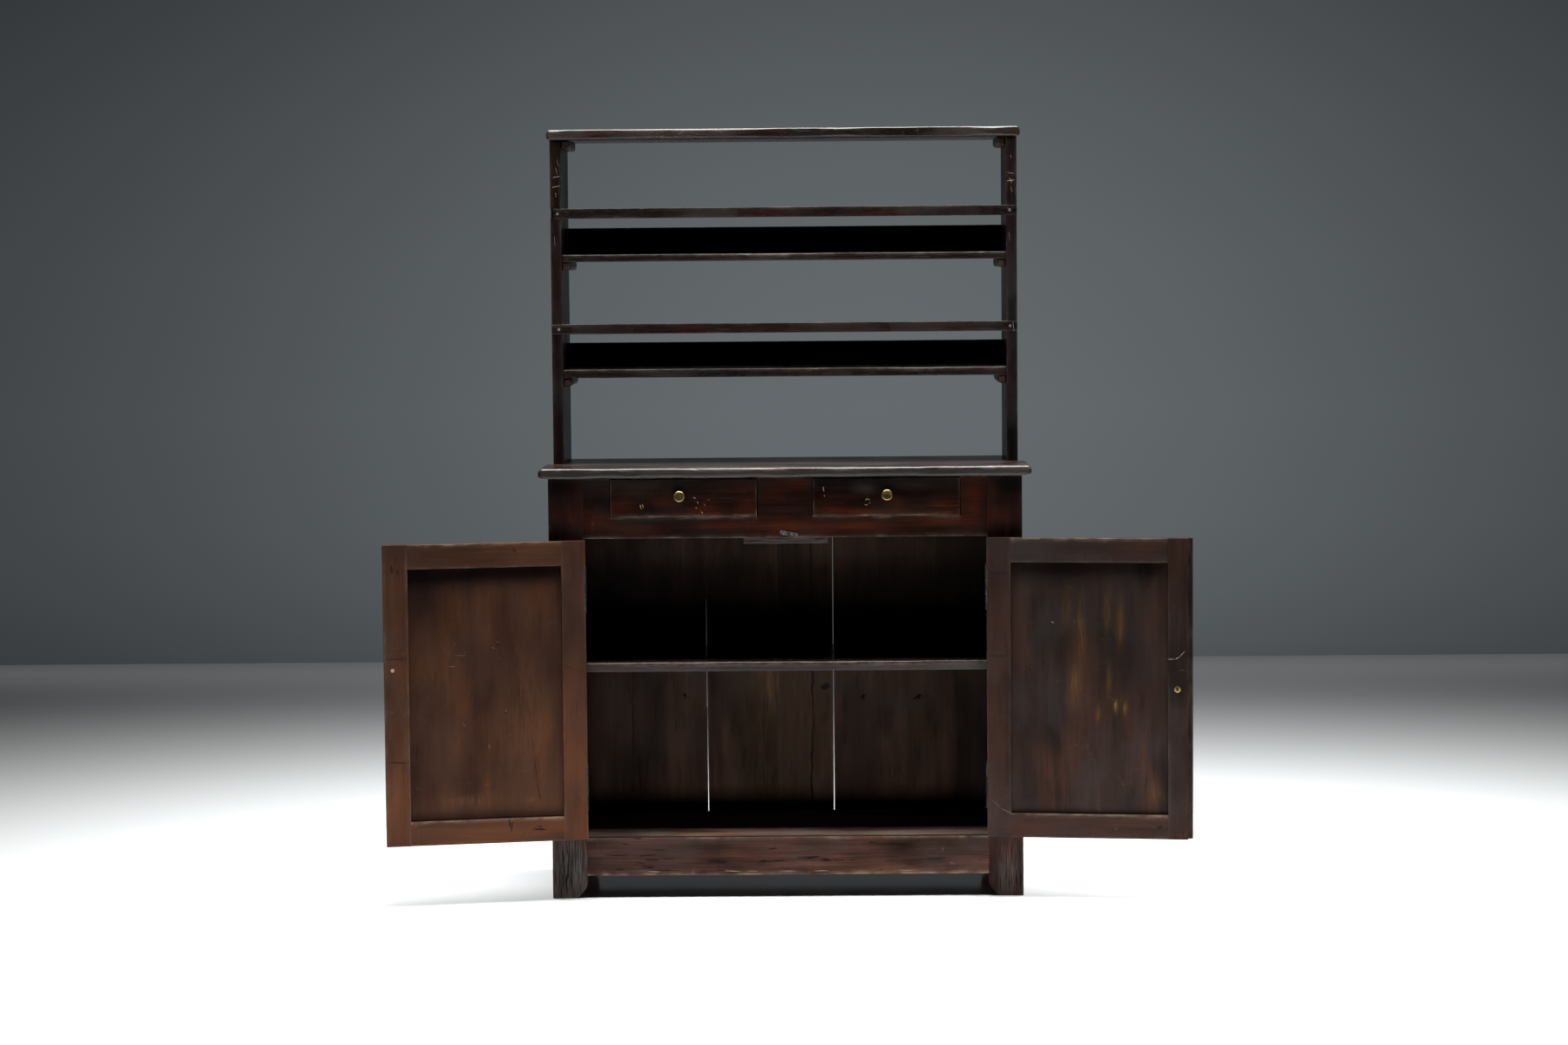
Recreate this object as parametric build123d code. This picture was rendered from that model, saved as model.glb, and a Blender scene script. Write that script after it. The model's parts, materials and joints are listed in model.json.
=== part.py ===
from build123d import *

import math
import os

# Open-backed plate rack standing on a two-door, two-drawer cupboard, in stained wood.
# Millimetres. Origin on the floor, at the middle of the carcase's width and depth.
# +X is to the right of someone facing the doors, +Y goes back, +Z is up.
# The doors are drawn shut, then swung open about their hinge pins to the rest pose.

# Carcase
carcase_width = 1110.0
carcase_depth = 442.0
side_thickness = 26.0
post_width = 82.0
post_thickness = 30.0
front_thickness = 25.0
foot_height = 53.0
bottom_rail_height = 90.0
door_opening_height = 707.0
apron_height = 141.0
frame_tenon_length = 28.0
frame_tenon_thickness = 9.0
frame_tenon_shoulder = 12.0
foot_cut_width = 22.0
foot_cut_height = 30.0
foot_curve_ratio = 2.2
rear_foot_width = 84.0
rear_board_thickness = 14.0
rear_rail_thickness = 20.0
rear_top_rail_height = 90.0
rear_bottom_rail_height = 50.0
joint_fit = 0.1
overcut = 1.0
match_tolerance = 0.01

# Worktop
worktop_thickness = 25.0
worktop_front_overhang = 20.0
worktop_side_overhang = 22.0
worktop_nosing_radius = 10.0
worktop_corner_radius = 12.0

# Plate rack
upright_depth = 252.0
lower_shelf_rise = 225.0
shelf_spacing = 274.0
top_board_rise = 272.0
rack_top_thickness = 25.0
rack_top_front_overhang = 6.0
rack_top_side_overhang = 8.0
rack_top_nosing_radius = 9.0
rack_top_corner_radius = 10.0
upper_shelf_thickness = 17.0
lower_shelf_thickness = 20.0
shelf_front_setback = 7.0
shelf_arris_radius = 5.0
rack_back_rail_thickness = 14.0
upper_back_rail_rise = 66.0
lower_back_rail_rise = 60.0
plate_rail_height = 24.0
plate_rail_thickness = 14.0
plate_rail_arris_radius = 3.0
upper_plate_rail_rise = 98.0
lower_plate_rail_rise = 97.0
upper_plate_rail_short_end = 6.0
cleat_size = 20.0
cleat_setback = 9.0
cleat_nose_radius = 9.0

# Inside the cupboard
inner_shelf_rise = 412.0
inner_shelf_thickness = 22.0
inner_shelf_arris_radius = 7.0
floor_thickness = 18.0
bearer_size = 25.0
rear_joints = [-200.0, -24.5, 110.0]
rear_joint_gaps = [3.0, 0.4, 3.0]
closed_joint_gap = 0.4
closed_joint_drop = 130.0
stop_width = 198.0
stop_shift = 1.0
stop_drop = 16.0
stop_runner_gap = 1.0
stop_thickness = 20.0

# Drawers
muntin_width = 128.0
drawer_side_strip = 62.0
apron_strip_height = 49.0
drawer_side_gap = 1.5
drawer_top_gap = 2.5
drawer_bottom_gap = 0.3
drawer_front_thickness = 20.0
drawer_side_thickness = 12.0
drawer_back_thickness = 12.0
drawer_bottom_thickness = 7.0
drawer_bottom_rise = 9.0
drawer_groove_depth = 6.0
drawer_stop_gap = 0.5
dovetail_lap = 6.0
dovetail_count = 3
dovetail_angle = 8.0
dovetail_pin_width = 9.0
cutout_arris = 1.2
runner_width = 40.0
runner_height = 20.0
guide_width = 24.0
guide_height = 16.0
runner_guide_gap = 1.0

# Doors
door_thickness = 24.0
door_end_gap = 2.0
door_hinge_gap = 1.6
door_meeting_gap = 1.5
meeting_line = 2.0
meeting_lip = 10.0
meeting_lip_thickness = 8.0
meeting_lip_gap = 1.0
stile_width = 57.0
lipped_stile_width = 47.0
rail_width = 57.0
panel_edge_thickness = 7.0
panel_field_thickness = 10.0
panel_front_setback = 5.0
panel_groove_depth = 9.0
panel_side_play = 1.5
panel_bevel_width = 30.0
door_tenon_length = 38.0
door_tenon_shoulder = 12.0
left_open_angle = 168.0
right_open_angle = 172.0

# Hinges
hinge_height = 108.0
hinge_inset = 64.0
hinge_leaf_depth = 21.0
hinge_leaf_thickness = 2.0
knuckle_radius = 5.5
knuckle_count = 3
knuckle_gap = 0.4
knuckle_face_gap = 0.4
hinge_pin_radius = 2.5
hinge_pin_clearance = 0.06
hinge_pin_head_height = 2.5
hinge_pin_head_radius = 4.6

# Knobs and turn button
knob_radius = 13.2
knob_thickness = 5.0
knob_rim_width = 2.2
knob_stem_radius = 4.5
knob_stem_stand = 13.5
knob_stem_depth = 14.0
left_knob_shift = -9.5
right_knob_shift = 1.5
drawer_knob_rise = 50.0
door_knob_edge = 25.0
door_knob_rise = 352.0
door_nut_radius = 7.5
door_nut_thickness = 2.6
button_x = 9.0
button_rise = 9.0
button_length = 43.0
button_width = 10.0
button_thickness = 2.2
button_tilt_angle = 10.0
button_stand_off = 0.5
button_screw_radius = 2.0
button_screw_clearance = 0.08
button_screw_head_radius = 4.2
button_screw_head_height = 1.6
button_screw_length = 18.0

# Worked out from the sizes above
half_width = carcase_width / 2
front = -carcase_depth / 2
rear = carcase_depth / 2
inner_side = half_width - side_thickness
opening_half = half_width - post_width
post_back = front + post_thickness
apron_back = front + front_thickness
upright_front = rear - upright_depth
rear_board_front = rear - rear_board_thickness
rear_rail_front = rear_board_front - rear_rail_thickness
bottom_rail_bottom = foot_height
bottom_rail_top = bottom_rail_bottom + bottom_rail_height
apron_bottom = bottom_rail_top + door_opening_height
worktop_underside = apron_bottom + apron_height
worktop_top = worktop_underside + worktop_thickness
lower_shelf_top = worktop_top + lower_shelf_rise
upper_shelf_top = lower_shelf_top + shelf_spacing
rack_top_underside = upper_shelf_top + top_board_rise
overall_height = rack_top_underside + rack_top_thickness
lower_plate_rail_centre = lower_shelf_top + lower_plate_rail_rise
upper_plate_rail_centre = upper_shelf_top + upper_plate_rail_rise
inner_shelf_top = bottom_rail_top + inner_shelf_rise
drawer_opening_inner = muntin_width / 2
drawer_opening_outer = opening_half - drawer_side_strip
drawer_opening_middle = (drawer_opening_inner + drawer_opening_outer) / 2
drawer_opening_bottom = apron_bottom + apron_strip_height
left_drawer_knob = left_knob_shift - drawer_opening_middle
right_drawer_knob = right_knob_shift + drawer_opening_middle
drawer_knob_height = drawer_opening_bottom + drawer_knob_rise
button_z = apron_bottom + button_rise
pin_y = front - knuckle_face_gap - knuckle_radius
pin_x = opening_half - door_hinge_gap / 2
hinge_edge = opening_half - door_hinge_gap
door_bottom = bottom_rail_top + door_end_gap
door_top = apron_bottom - door_end_gap
door_knob_height = door_bottom + door_knob_rise
door_back = front + door_thickness
drawer_back_face = rear_rail_front - drawer_stop_gap
drawer_bottom = drawer_opening_bottom + drawer_bottom_gap
drawer_top = worktop_underside - drawer_top_gap
left_free_edge = meeting_line - door_meeting_gap / 2
right_free_edge = meeting_line + door_meeting_gap / 2
lip_end = right_free_edge - meeting_lip


def block(x0, x1, y0, y1, z0, z1):
    """A squared piece of wood between two opposite corners."""
    centre = Pos((x0 + x1) / 2, (y0 + y1) / 2, (z0 + z1) / 2)
    return centre * Box(abs(x1 - x0), abs(y1 - y0), abs(z1 - z0))


def prism_x(points, x0, x1):
    """An outline drawn in (y, z), carried along X from x0 to x1."""
    plane = Plane(origin=(x0, 0, 0), x_dir=(0, 1, 0), z_dir=(1, 0, 0))
    return extrude(plane * make_face(Polyline(*points, close=True)), x1 - x0)


def prism_y(points, y0, y1):
    """An outline drawn in (x, z), carried along Y from y0 to y1."""
    plane = Plane(origin=(0, y0, 0), x_dir=(1, 0, 0), z_dir=(0, -1, 0))
    return extrude(plane * make_face(Polyline(*points, close=True)), y0 - y1)


def edges_at(part, axis, x=None, y=None, z=None):
    """Edges along an axis whose middle lies at the places that are given."""
    found = part.edges().filter_by(axis)
    for place, name in ((x, "X"), (y, "Y"), (z, "Z")):
        if place is not None:
            found = [edge for edge in found if abs(getattr(edge.center(), name) - place) < match_tolerance]
    return found


def mirrored(part):
    """The same piece for the other side."""
    return mirror(part, about=Plane.YZ)


def foot_bite(corner, side):
    """Gently curved bite out of a foot's bottom corner, drawn in (along, z)."""
    tip = corner + side * foot_cut_width
    radius = foot_curve_ratio * math.hypot(foot_cut_width, foot_cut_height)
    wall = Line((corner, foot_cut_height), (corner, 0))
    floor = Line((corner, 0), (tip, 0))
    curve = RadiusArc((tip, 0), (corner, foot_cut_height), side * radius)
    return make_face([wall, floor, curve])


def nosed_board(x_half, y0, y1, z0, z1, corner, radius):
    """Board with both front corners and the front and end arrises rounded."""
    board = block(-x_half, x_half, y0, y1, z0, z1)
    uprights = edges_at(board, Axis.Z, y=y0)
    board = fillet(uprights, corner)
    for z in (z0, z1):
        rim = board.edges().filter_by(lambda e: abs(e.center().Z - z) < match_tolerance)
        board = fillet(rim.filter_by(lambda e: e.center().Y < y1 - match_tolerance), radius)
    return board


# ---------------------------------------------------------------- front frame

def front_post():
    """Left front post: mortised for the apron and the bottom rail, hinge beds in its inner edge."""
    post = block(-half_width, -opening_half, front, post_back, 0, worktop_underside)
    plane = Plane(origin=(0, post_back + overcut, 0), x_dir=(1, 0, 0), z_dir=(0, -1, 0))
    post -= extrude(plane * foot_bite(-opening_half, -1), post_thickness + 2 * overcut)
    for low, high in ((apron_bottom, worktop_underside), (bottom_rail_bottom, bottom_rail_top)):
        post -= frame_tenon(-opening_half, low, high, joint_fit)
    for z in hinge_centres():
        post -= hinge_bed(-opening_half, z)
    return post


def frame_tenon(shoulder_x, low, high, fit=0.0):
    """Tenon of a front rail, or the mortise for it when fit is added all round."""
    middle = front + front_thickness / 2
    half = frame_tenon_thickness / 2 + fit
    tip = shoulder_x - frame_tenon_length - fit
    return block(
        tip, shoulder_x, middle - half, middle + half,
        low + frame_tenon_shoulder - fit, high - frame_tenon_shoulder + fit,
    )


def apron_board():
    """Board over the doors, cut out for both drawers, with a softened arris under each."""
    board = block(-opening_half, opening_half, front, apron_back, apron_bottom, worktop_underside)
    for side in (-1, 1):
        board -= block(
            side * drawer_opening_inner, side * drawer_opening_outer,
            front - overcut, apron_back + overcut, drawer_opening_bottom, worktop_underside + overcut,
        )
    board = chamfer(edges_at(board, Axis.X, y=front, z=drawer_opening_bottom), cutout_arris)
    tenon = frame_tenon(-opening_half, apron_bottom, worktop_underside)
    board += tenon + mirrored(tenon)
    screw_bore = Pos(button_x, front, button_z) * Rot(-90, 0, 0)
    board -= screw_bore * Cylinder(
        button_screw_radius + joint_fit, button_screw_length + joint_fit,
        align=(Align.CENTER, Align.CENTER, Align.MIN),
    )
    return board


def bottom_rail():
    """Rail between the front feet."""
    rail = block(-opening_half, opening_half, front, apron_back, bottom_rail_bottom, bottom_rail_top)
    tenon = frame_tenon(-opening_half, bottom_rail_bottom, bottom_rail_top)
    return rail + tenon + mirrored(tenon)


# ---------------------------------------------------------------- sides and back

def side_board():
    """Left lower side board, between the front post and the rack's upright."""
    return block(-half_width, -inner_side, post_back, upright_front, bottom_rail_bottom, worktop_underside)


def upright():
    """Left rear plank of the side, which runs on up as the upright of the plate rack."""
    foot_front = rear - rear_foot_width
    outline = [
        (upright_front, bottom_rail_bottom),
        (foot_front, bottom_rail_bottom),
        (foot_front, 0),
        (rear, 0),
        (rear, rack_top_underside),
        (upright_front, rack_top_underside),
    ]
    plank = prism_x(outline, -half_width, -inner_side)
    plane = Plane(origin=(-half_width - overcut, 0, 0), x_dir=(0, 1, 0), z_dir=(1, 0, 0))
    plank -= extrude(plane * foot_bite(foot_front, 1), side_thickness + 2 * overcut)
    for centre in (upper_plate_rail_centre, lower_plate_rail_centre):
        plank -= block(
            -half_width - overcut, -inner_side + overcut,
            upright_front - overcut, upright_front + plate_rail_thickness,
            centre - plate_rail_height / 2, centre + plate_rail_height / 2,
        )
    return plank


def rear_foot():
    """Left rear foot, as wide with the side as a front post, bitten out like the front foot."""
    foot = block(-inner_side, -opening_half, rear_board_front, rear, 0, foot_height)
    plane = Plane(origin=(0, rear + overcut, 0), x_dir=(1, 0, 0), z_dir=(0, -1, 0))
    return foot - extrude(plane * foot_bite(-opening_half, -1), rear_board_thickness + 2 * overcut)


def rear_board(number):
    """One back board. The joint right of the first board closes towards the top."""
    gaps = [0.0] + rear_joint_gaps + [0.0]
    lines = [-inner_side] + rear_joints + [inner_side]
    left = lines[number] + gaps[number] / 2
    right = lines[number + 1] - gaps[number + 1] / 2
    low = bottom_rail_bottom
    high = worktop_underside
    outline = [(left, low), (right, low), (right, high), (left, high)]
    if number == 1:
        closed = lines[1] - gaps[1] / 2 + closed_joint_gap
        closed_low = apron_bottom - closed_joint_drop
        outline = [(left, low), (right, low), (right, high), (closed, high), (closed, closed_low)]
    board = prism_y(outline, rear_board_front, rear)
    if number == 0:
        board += rear_foot()
    if number == len(rear_joints):
        board += mirrored(rear_foot())
    return board


def rear_rails():
    """Rail behind the drawers and rail under the floor, which carry the back boards."""
    top = block(
        -inner_side, inner_side, rear_rail_front, rear_board_front,
        worktop_underside - rear_top_rail_height, worktop_underside,
    )
    high = bottom_rail_top - floor_thickness
    low = block(
        -inner_side, inner_side, rear_rail_front, rear_board_front,
        high - rear_bottom_rail_height, high,
    )
    return [top, low]


# ---------------------------------------------------------------- worktop

def worktop_front_board():
    """Front board of the worktop, round-nosed at the front and both ends."""
    return nosed_board(
        half_width + worktop_side_overhang, front - worktop_front_overhang, upright_front,
        worktop_underside, worktop_top, worktop_corner_radius, worktop_nosing_radius,
    )


def worktop_rear_board():
    """Rear board of the worktop, fitted between the uprights."""
    return block(-inner_side, inner_side, upright_front, rear, worktop_underside, worktop_top)


# ---------------------------------------------------------------- inside the cupboard

def cupboard_floor():
    """Floor board, flush with the bottom rail."""
    low = bottom_rail_top - floor_thickness
    middle = block(-inner_side, inner_side, post_back, rear_board_front, low, bottom_rail_top)
    tongue = block(-opening_half, opening_half, apron_back, post_back, low, bottom_rail_top)
    return middle + tongue


def inner_shelf():
    """Shelf across the cupboard, with a rounded front arris."""
    shelf = block(
        -inner_side, inner_side, post_back, rear_board_front,
        inner_shelf_top - inner_shelf_thickness, inner_shelf_top,
    )
    arris = edges_at(shelf, Axis.X, y=post_back, z=inner_shelf_top)
    return fillet(arris, inner_shelf_arris_radius)


def inner_bearers():
    """Battens on the sides under the floor, the shelf and the worktop, and a ledger on the rail."""
    floor_low = bottom_rail_top - floor_thickness
    shelf_low = inner_shelf_top - inner_shelf_thickness
    bearers = []
    for top in (floor_low, shelf_low, worktop_underside):
        bearer = block(
            -inner_side, -inner_side + bearer_size, post_back, rear_rail_front, top - bearer_size, top,
        )
        bearers += [bearer, mirrored(bearer)]
    bearers.append(block(
        -opening_half, opening_half, apron_back, apron_back + bearer_size,
        floor_low - bearer_size, floor_low,
    ))
    return bearers


def door_stop():
    """Block on the back of the apron that both doors shut against."""
    high = drawer_opening_bottom - runner_height - stop_runner_gap
    return block(
        stop_shift - stop_width / 2, stop_shift + stop_width / 2,
        apron_back, apron_back + stop_thickness, apron_bottom - stop_drop, high,
    )


def drawer_runners():
    """Four rebated runners from the apron to the rear rail, each with its guide."""
    runners = []
    shelf = drawer_opening_bottom
    for side in (-1, 1):
        for edge, away in ((drawer_opening_inner, -1), (drawer_opening_outer, 1)):
            guide_face = edge - away * (drawer_side_gap - runner_guide_gap)
            outline = [
                (side * (guide_face + away * guide_width), shelf - runner_height),
                (side * (guide_face + away * guide_width - away * runner_width), shelf - runner_height),
                (side * (guide_face + away * guide_width - away * runner_width), shelf),
                (side * guide_face, shelf),
                (side * guide_face, shelf + guide_height),
                (side * (guide_face + away * guide_width), shelf + guide_height),
            ]
            runners.append(prism_y(outline, apron_back, rear_rail_front))
    return runners


# ---------------------------------------------------------------- plate rack

def rack_top_board():
    """Top board of the rack, round-nosed at the front and both ends."""
    return nosed_board(
        half_width + rack_top_side_overhang, upright_front - rack_top_front_overhang, rear,
        rack_top_underside, overall_height, rack_top_corner_radius, rack_top_nosing_radius,
    )


def plate_rail(centre, left_short):
    """Rail that plates lean on, let into notches in the front edges of both uprights."""
    rail = block(
        -half_width + left_short, half_width, upright_front, upright_front + plate_rail_thickness,
        centre - plate_rail_height / 2, centre + plate_rail_height / 2,
    )
    arris = edges_at(rail, Axis.X, y=upright_front, z=centre + plate_rail_height / 2)
    return fillet(arris, plate_rail_arris_radius)


def rack_shelf(top, thickness):
    """Plate shelf between the uprights, with a rounded front arris."""
    near = upright_front + shelf_front_setback
    shelf = block(-inner_side, inner_side, near, rear - rack_back_rail_thickness, top - thickness, top)
    return fillet(edges_at(shelf, Axis.X, y=near, z=top), shelf_arris_radius)


def rack_back_rail(shelf_top, thickness, rise):
    """Board nailed to the shelf's back edge, which stops the plates."""
    return block(
        -inner_side, inner_side, rear - rack_back_rail_thickness, rear,
        shelf_top - thickness, shelf_top + rise,
    )


def rack_cleats():
    """Battens under the top board and both shelves, rounded off at the front."""
    cleats = []
    near = upright_front + cleat_setback
    tops = (
        rack_top_underside,
        upper_shelf_top - upper_shelf_thickness,
        lower_shelf_top - lower_shelf_thickness,
    )
    for top in tops:
        low = top - cleat_size
        cleat = block(
            -inner_side, -inner_side + cleat_size, near, rear - rack_back_rail_thickness, low, top,
        )
        cleat = fillet(edges_at(cleat, Axis.X, y=near, z=low), cleat_nose_radius)
        cleats += [cleat, mirrored(cleat)]
    return cleats


# ---------------------------------------------------------------- hinges

def hinge_centres():
    """Heights of the middle of the lower and the upper hinge."""
    return (
        door_bottom + hinge_inset + hinge_height / 2,
        door_top - hinge_inset - hinge_height / 2,
    )


def hinge_bed(edge_x, z):
    """Shallow bed for a leaf, cut into the wood to the left of edge_x."""
    return block(
        edge_x - hinge_leaf_thickness, edge_x + overcut,
        front - overcut, front + hinge_leaf_depth + joint_fit,
        z - hinge_height / 2 - joint_fit, z + hinge_height / 2 + joint_fit,
    )


def hinge_leaf(z, on_door):
    """Leaf with its share of the knuckles, bored for the pin, for the left-hand door."""
    pitch = hinge_height / knuckle_count
    if on_door:
        outer = -hinge_edge + hinge_leaf_thickness
        inner = -hinge_edge
    else:
        outer = -opening_half
        inner = -opening_half - hinge_leaf_thickness
    low = z - hinge_height / 2
    leaf = block(inner, outer, front, front + hinge_leaf_depth, low, low + hinge_height)
    for number in range(1 if on_door else 0, knuckle_count, 2):
        start = low + number * pitch + knuckle_gap / 2
        end = start + pitch - knuckle_gap
        leaf += block(inner, outer, pin_y, front, start, end)
        leaf += Pos(-pin_x, pin_y, (start + end) / 2) * Cylinder(knuckle_radius, end - start)
    bore = hinge_pin_radius + hinge_pin_clearance
    return leaf - Pos(-pin_x, pin_y, z) * Cylinder(bore, hinge_height + 2 * overcut)


def hinge_pin(z):
    """Pin whose flat head rests on the top knuckle, with a plain lower end."""
    half = hinge_height / 2
    profile = [
        (0, -half), (hinge_pin_radius, -half), (hinge_pin_radius, half),
        (hinge_pin_head_radius, half), (hinge_pin_head_radius, half + hinge_pin_head_height),
        (0, half + hinge_pin_head_height),
    ]
    face = Plane.XZ * make_face(Polyline(*profile, close=True))
    return Pos(-pin_x, pin_y, z) * revolve(face, Axis.Z)


# ---------------------------------------------------------------- doors, drawn shut for the left side

def panel_limits(free_edge, free_stile):
    """Inner edges of a door's frame: hinge side, free side, bottom and top."""
    return (
        -hinge_edge + stile_width, free_edge - free_stile,
        door_bottom + rail_width, door_top - rail_width,
    )


def panel_groove(left, right, low, high):
    """Space for the panel's edges all round a door frame."""
    y0 = front + panel_front_setback - joint_fit
    return block(
        left - panel_groove_depth, right + panel_groove_depth,
        y0, y0 + panel_edge_thickness + 2 * joint_fit,
        low - panel_groove_depth, high + panel_groove_depth,
    )


def rail_tenons(left, right, z0, z1, fit=0.0):
    """Tenons at both ends of a door rail, as thick as the panel's edge."""
    y0 = front + panel_front_setback - fit
    return block(
        left - door_tenon_length - fit, right + door_tenon_length + fit,
        y0, y0 + panel_edge_thickness + 2 * fit,
        z0 + door_tenon_shoulder - fit, z1 - door_tenon_shoulder + fit,
    )


def door_frame(limits, free_edge):
    """Hinge stile, meeting stile, top rail and bottom rail of one door."""
    left, right, low, high = limits
    groove = panel_groove(left, right, low, high)
    hinge_stile = block(-hinge_edge, left, front, door_back, door_bottom, door_top) - groove
    meeting_stile = block(right, free_edge, front, door_back, door_bottom, door_top) - groove
    rails = []
    for z0, z1 in ((door_bottom, low), (high, door_top)):
        mortise = rail_tenons(left, right, z0, z1, joint_fit)
        hinge_stile -= mortise
        meeting_stile -= mortise
        rail = block(left, right, front, door_back, z0, z1) - groove
        rails.append(rail + rail_tenons(left, right, z0, z1))
    for z in hinge_centres():
        hinge_stile -= mirrored(hinge_bed(hinge_edge, z))
    return hinge_stile, meeting_stile, rails[1], rails[0]


def door_panel(limits):
    """Panel held in the grooves, flat in front and bevelled off at its edges behind."""
    left, right, low, high = limits
    hold = panel_groove_depth - panel_side_play
    y0 = front + panel_front_setback
    edge = block(left - hold, right + hold, y0, y0 + panel_edge_thickness, low - hold, high + hold)
    middle = Pos((left + right) / 2, y0 + panel_edge_thickness, (low + high) / 2) * Rot(-90, 0, 0)
    foot = Rectangle(right - left - 2 * joint_fit, high - low - 2 * joint_fit)
    field = Rectangle(right - left - 2 * panel_bevel_width, high - low - 2 * panel_bevel_width)
    raised = loft([middle * foot, middle * Pos(0, 0, panel_field_thickness - panel_edge_thickness) * field])
    return edge + raised


def lip_rebate():
    """Rebate down the front of the left meeting stile, where the right door's lip lies."""
    return block(
        lip_end - meeting_lip_gap, left_free_edge + overcut,
        front - overcut, front + meeting_lip_thickness + meeting_lip_gap,
        door_bottom - overcut, door_top + overcut,
    )


def lip():
    """Lip down the front of the right meeting stile, drawn for a left-hand door."""
    return block(
        -right_free_edge - overcut, -lip_end, front, front + meeting_lip_thickness, door_bottom, door_top,
    )


def swing(part, side, open_angle):
    """Swing a shut door piece open about its pin."""
    pin = Pos(side * pin_x, pin_y, 0)
    return pin * Rot(0, 0, side * open_angle) * pin.inverse() * part


def door_pieces(name, free_edge, free_stile):
    """Pieces that both doors have, shut, as a left-hand door."""
    limits = panel_limits(free_edge, free_stile)
    hinge_stile, meeting_stile, top_rail, low_rail = door_frame(limits, free_edge)
    return {
        name + "_hinge_stile": [hinge_stile],
        name + "_meeting_stile": [meeting_stile],
        name + "_top_rail": [top_rail],
        name + "_bottom_rail": [low_rail],
        name + "_panel": [door_panel(limits)],
        name + "_hinge_leaves": [hinge_leaf(z, True) for z in hinge_centres()],
    }


def left_door():
    """Left door in the rest pose."""
    pieces = door_pieces("left_door", left_free_edge, stile_width)
    pieces["left_door_meeting_stile"][0] -= lip_rebate()
    return {
        node: [swing(solid, -1, left_open_angle) for solid in solids]
        for node, solids in pieces.items()
    }


def right_door():
    """Right door in the rest pose, with its lip, its knob and the nut that holds the knob."""
    pieces = door_pieces("right_door", -right_free_edge, lipped_stile_width)
    knob_x = -right_free_edge - door_knob_edge
    bolt = Pos(knob_x, (front + door_back) / 2, door_knob_height) * Rot(90, 0, 0)
    hole = bolt * Cylinder(knob_stem_radius + joint_fit, door_thickness + 2 * overcut)
    stile = pieces["right_door_meeting_stile"][0]
    pieces["right_door_meeting_stile"] = [stile + lip() - hole]
    pieces["right_door_knob"] = [
        Pos(knob_x, front, door_knob_height) * knob(door_thickness + door_nut_thickness)
    ]
    pieces["right_door_nut"] = [Pos(knob_x, door_back, door_knob_height) * knob_nut()]
    return {
        node: [swing(mirrored(solid), 1, right_open_angle) for solid in solids]
        for node, solids in pieces.items()
    }


# ---------------------------------------------------------------- knobs and turn button

def knob(depth):
    """Turned brass disc knob standing forward (-Y) of a face at y = 0, on a stem let in to a depth."""
    top = knob_stem_stand + knob_thickness
    profile = [
        (0, -depth), (knob_stem_radius, -depth), (knob_stem_radius, knob_stem_stand),
        (knob_radius, knob_stem_stand), (knob_radius, top - knob_rim_width),
        (knob_radius - knob_rim_width, top), (0, top),
    ]
    turned = revolve(make_face(Polyline(*profile, close=True)), Axis.Y)
    return Rot(0, 0, 180) * turned


def knob_nut():
    """Round brass nut on the inner face of the door, bored for the knob's stem."""
    ring = Cylinder(door_nut_radius, door_nut_thickness, align=(Align.CENTER, Align.CENTER, Align.MIN))
    ring -= Cylinder(knob_stem_radius + joint_fit, 2 * (door_nut_thickness + overcut))
    return Rot(-90, 0, 0) * ring


def turn_button():
    """Iron turn button with rounded ends, bored for its screw, drawn level then tilted."""
    plate = SlotOverall(button_length, button_width) - Circle(button_screw_radius + button_screw_clearance)
    solid = extrude(plate, button_thickness)
    seat = Pos(button_x, front - button_stand_off, button_z)
    return seat * Rot(90, 0, 0) * Rot(0, 0, -button_tilt_angle) * solid


def turn_button_screw():
    """Screw that holds the button and that it turns on, with a flat round head."""
    shank_end = -button_stand_off - button_thickness - button_stand_off
    profile = [
        (0, button_screw_length), (button_screw_radius, button_screw_length),
        (button_screw_radius, shank_end), (button_screw_head_radius, shank_end),
        (button_screw_head_radius, shank_end - button_screw_head_height),
        (0, shank_end - button_screw_head_height),
    ]
    turned = revolve(make_face(Polyline(*profile, close=True)), Axis.Y)
    return Pos(button_x, front, button_z) * turned


# ---------------------------------------------------------------- drawers

def dovetail_outline(y_root, y_tip, z_low, z_high):
    """Tail shapes in (y, z) that widen from the root to the tip, evenly spaced over a height."""
    spread = math.tan(math.radians(dovetail_angle)) * abs(y_tip - y_root)
    height = z_high - z_low
    tail = (height - dovetail_pin_width * dovetail_count) / dovetail_count
    outlines = []
    for number in range(dovetail_count):
        base = z_low + dovetail_pin_width / 2 + number * (tail + dovetail_pin_width)
        outlines.append([
            (y_root, base + spread), (y_tip, base), (y_tip, base + tail), (y_root, base + tail - spread),
        ])
    return outlines


def drawer_tails(x0, x1):
    """Front and back tails of a drawer side that lies between x0 and x1."""
    front_root = front + drawer_front_thickness
    back_root = drawer_back_face - drawer_back_thickness
    tails = []
    for outline in dovetail_outline(front_root, front + dovetail_lap, drawer_bottom, drawer_top):
        tails.append(prism_x(outline, x0, x1))
    back_low = drawer_bottom + drawer_bottom_rise + drawer_bottom_thickness
    for outline in dovetail_outline(back_root, drawer_back_face, back_low, drawer_top):
        tails.append(prism_x(outline, x0, x1))
    return tails


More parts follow.
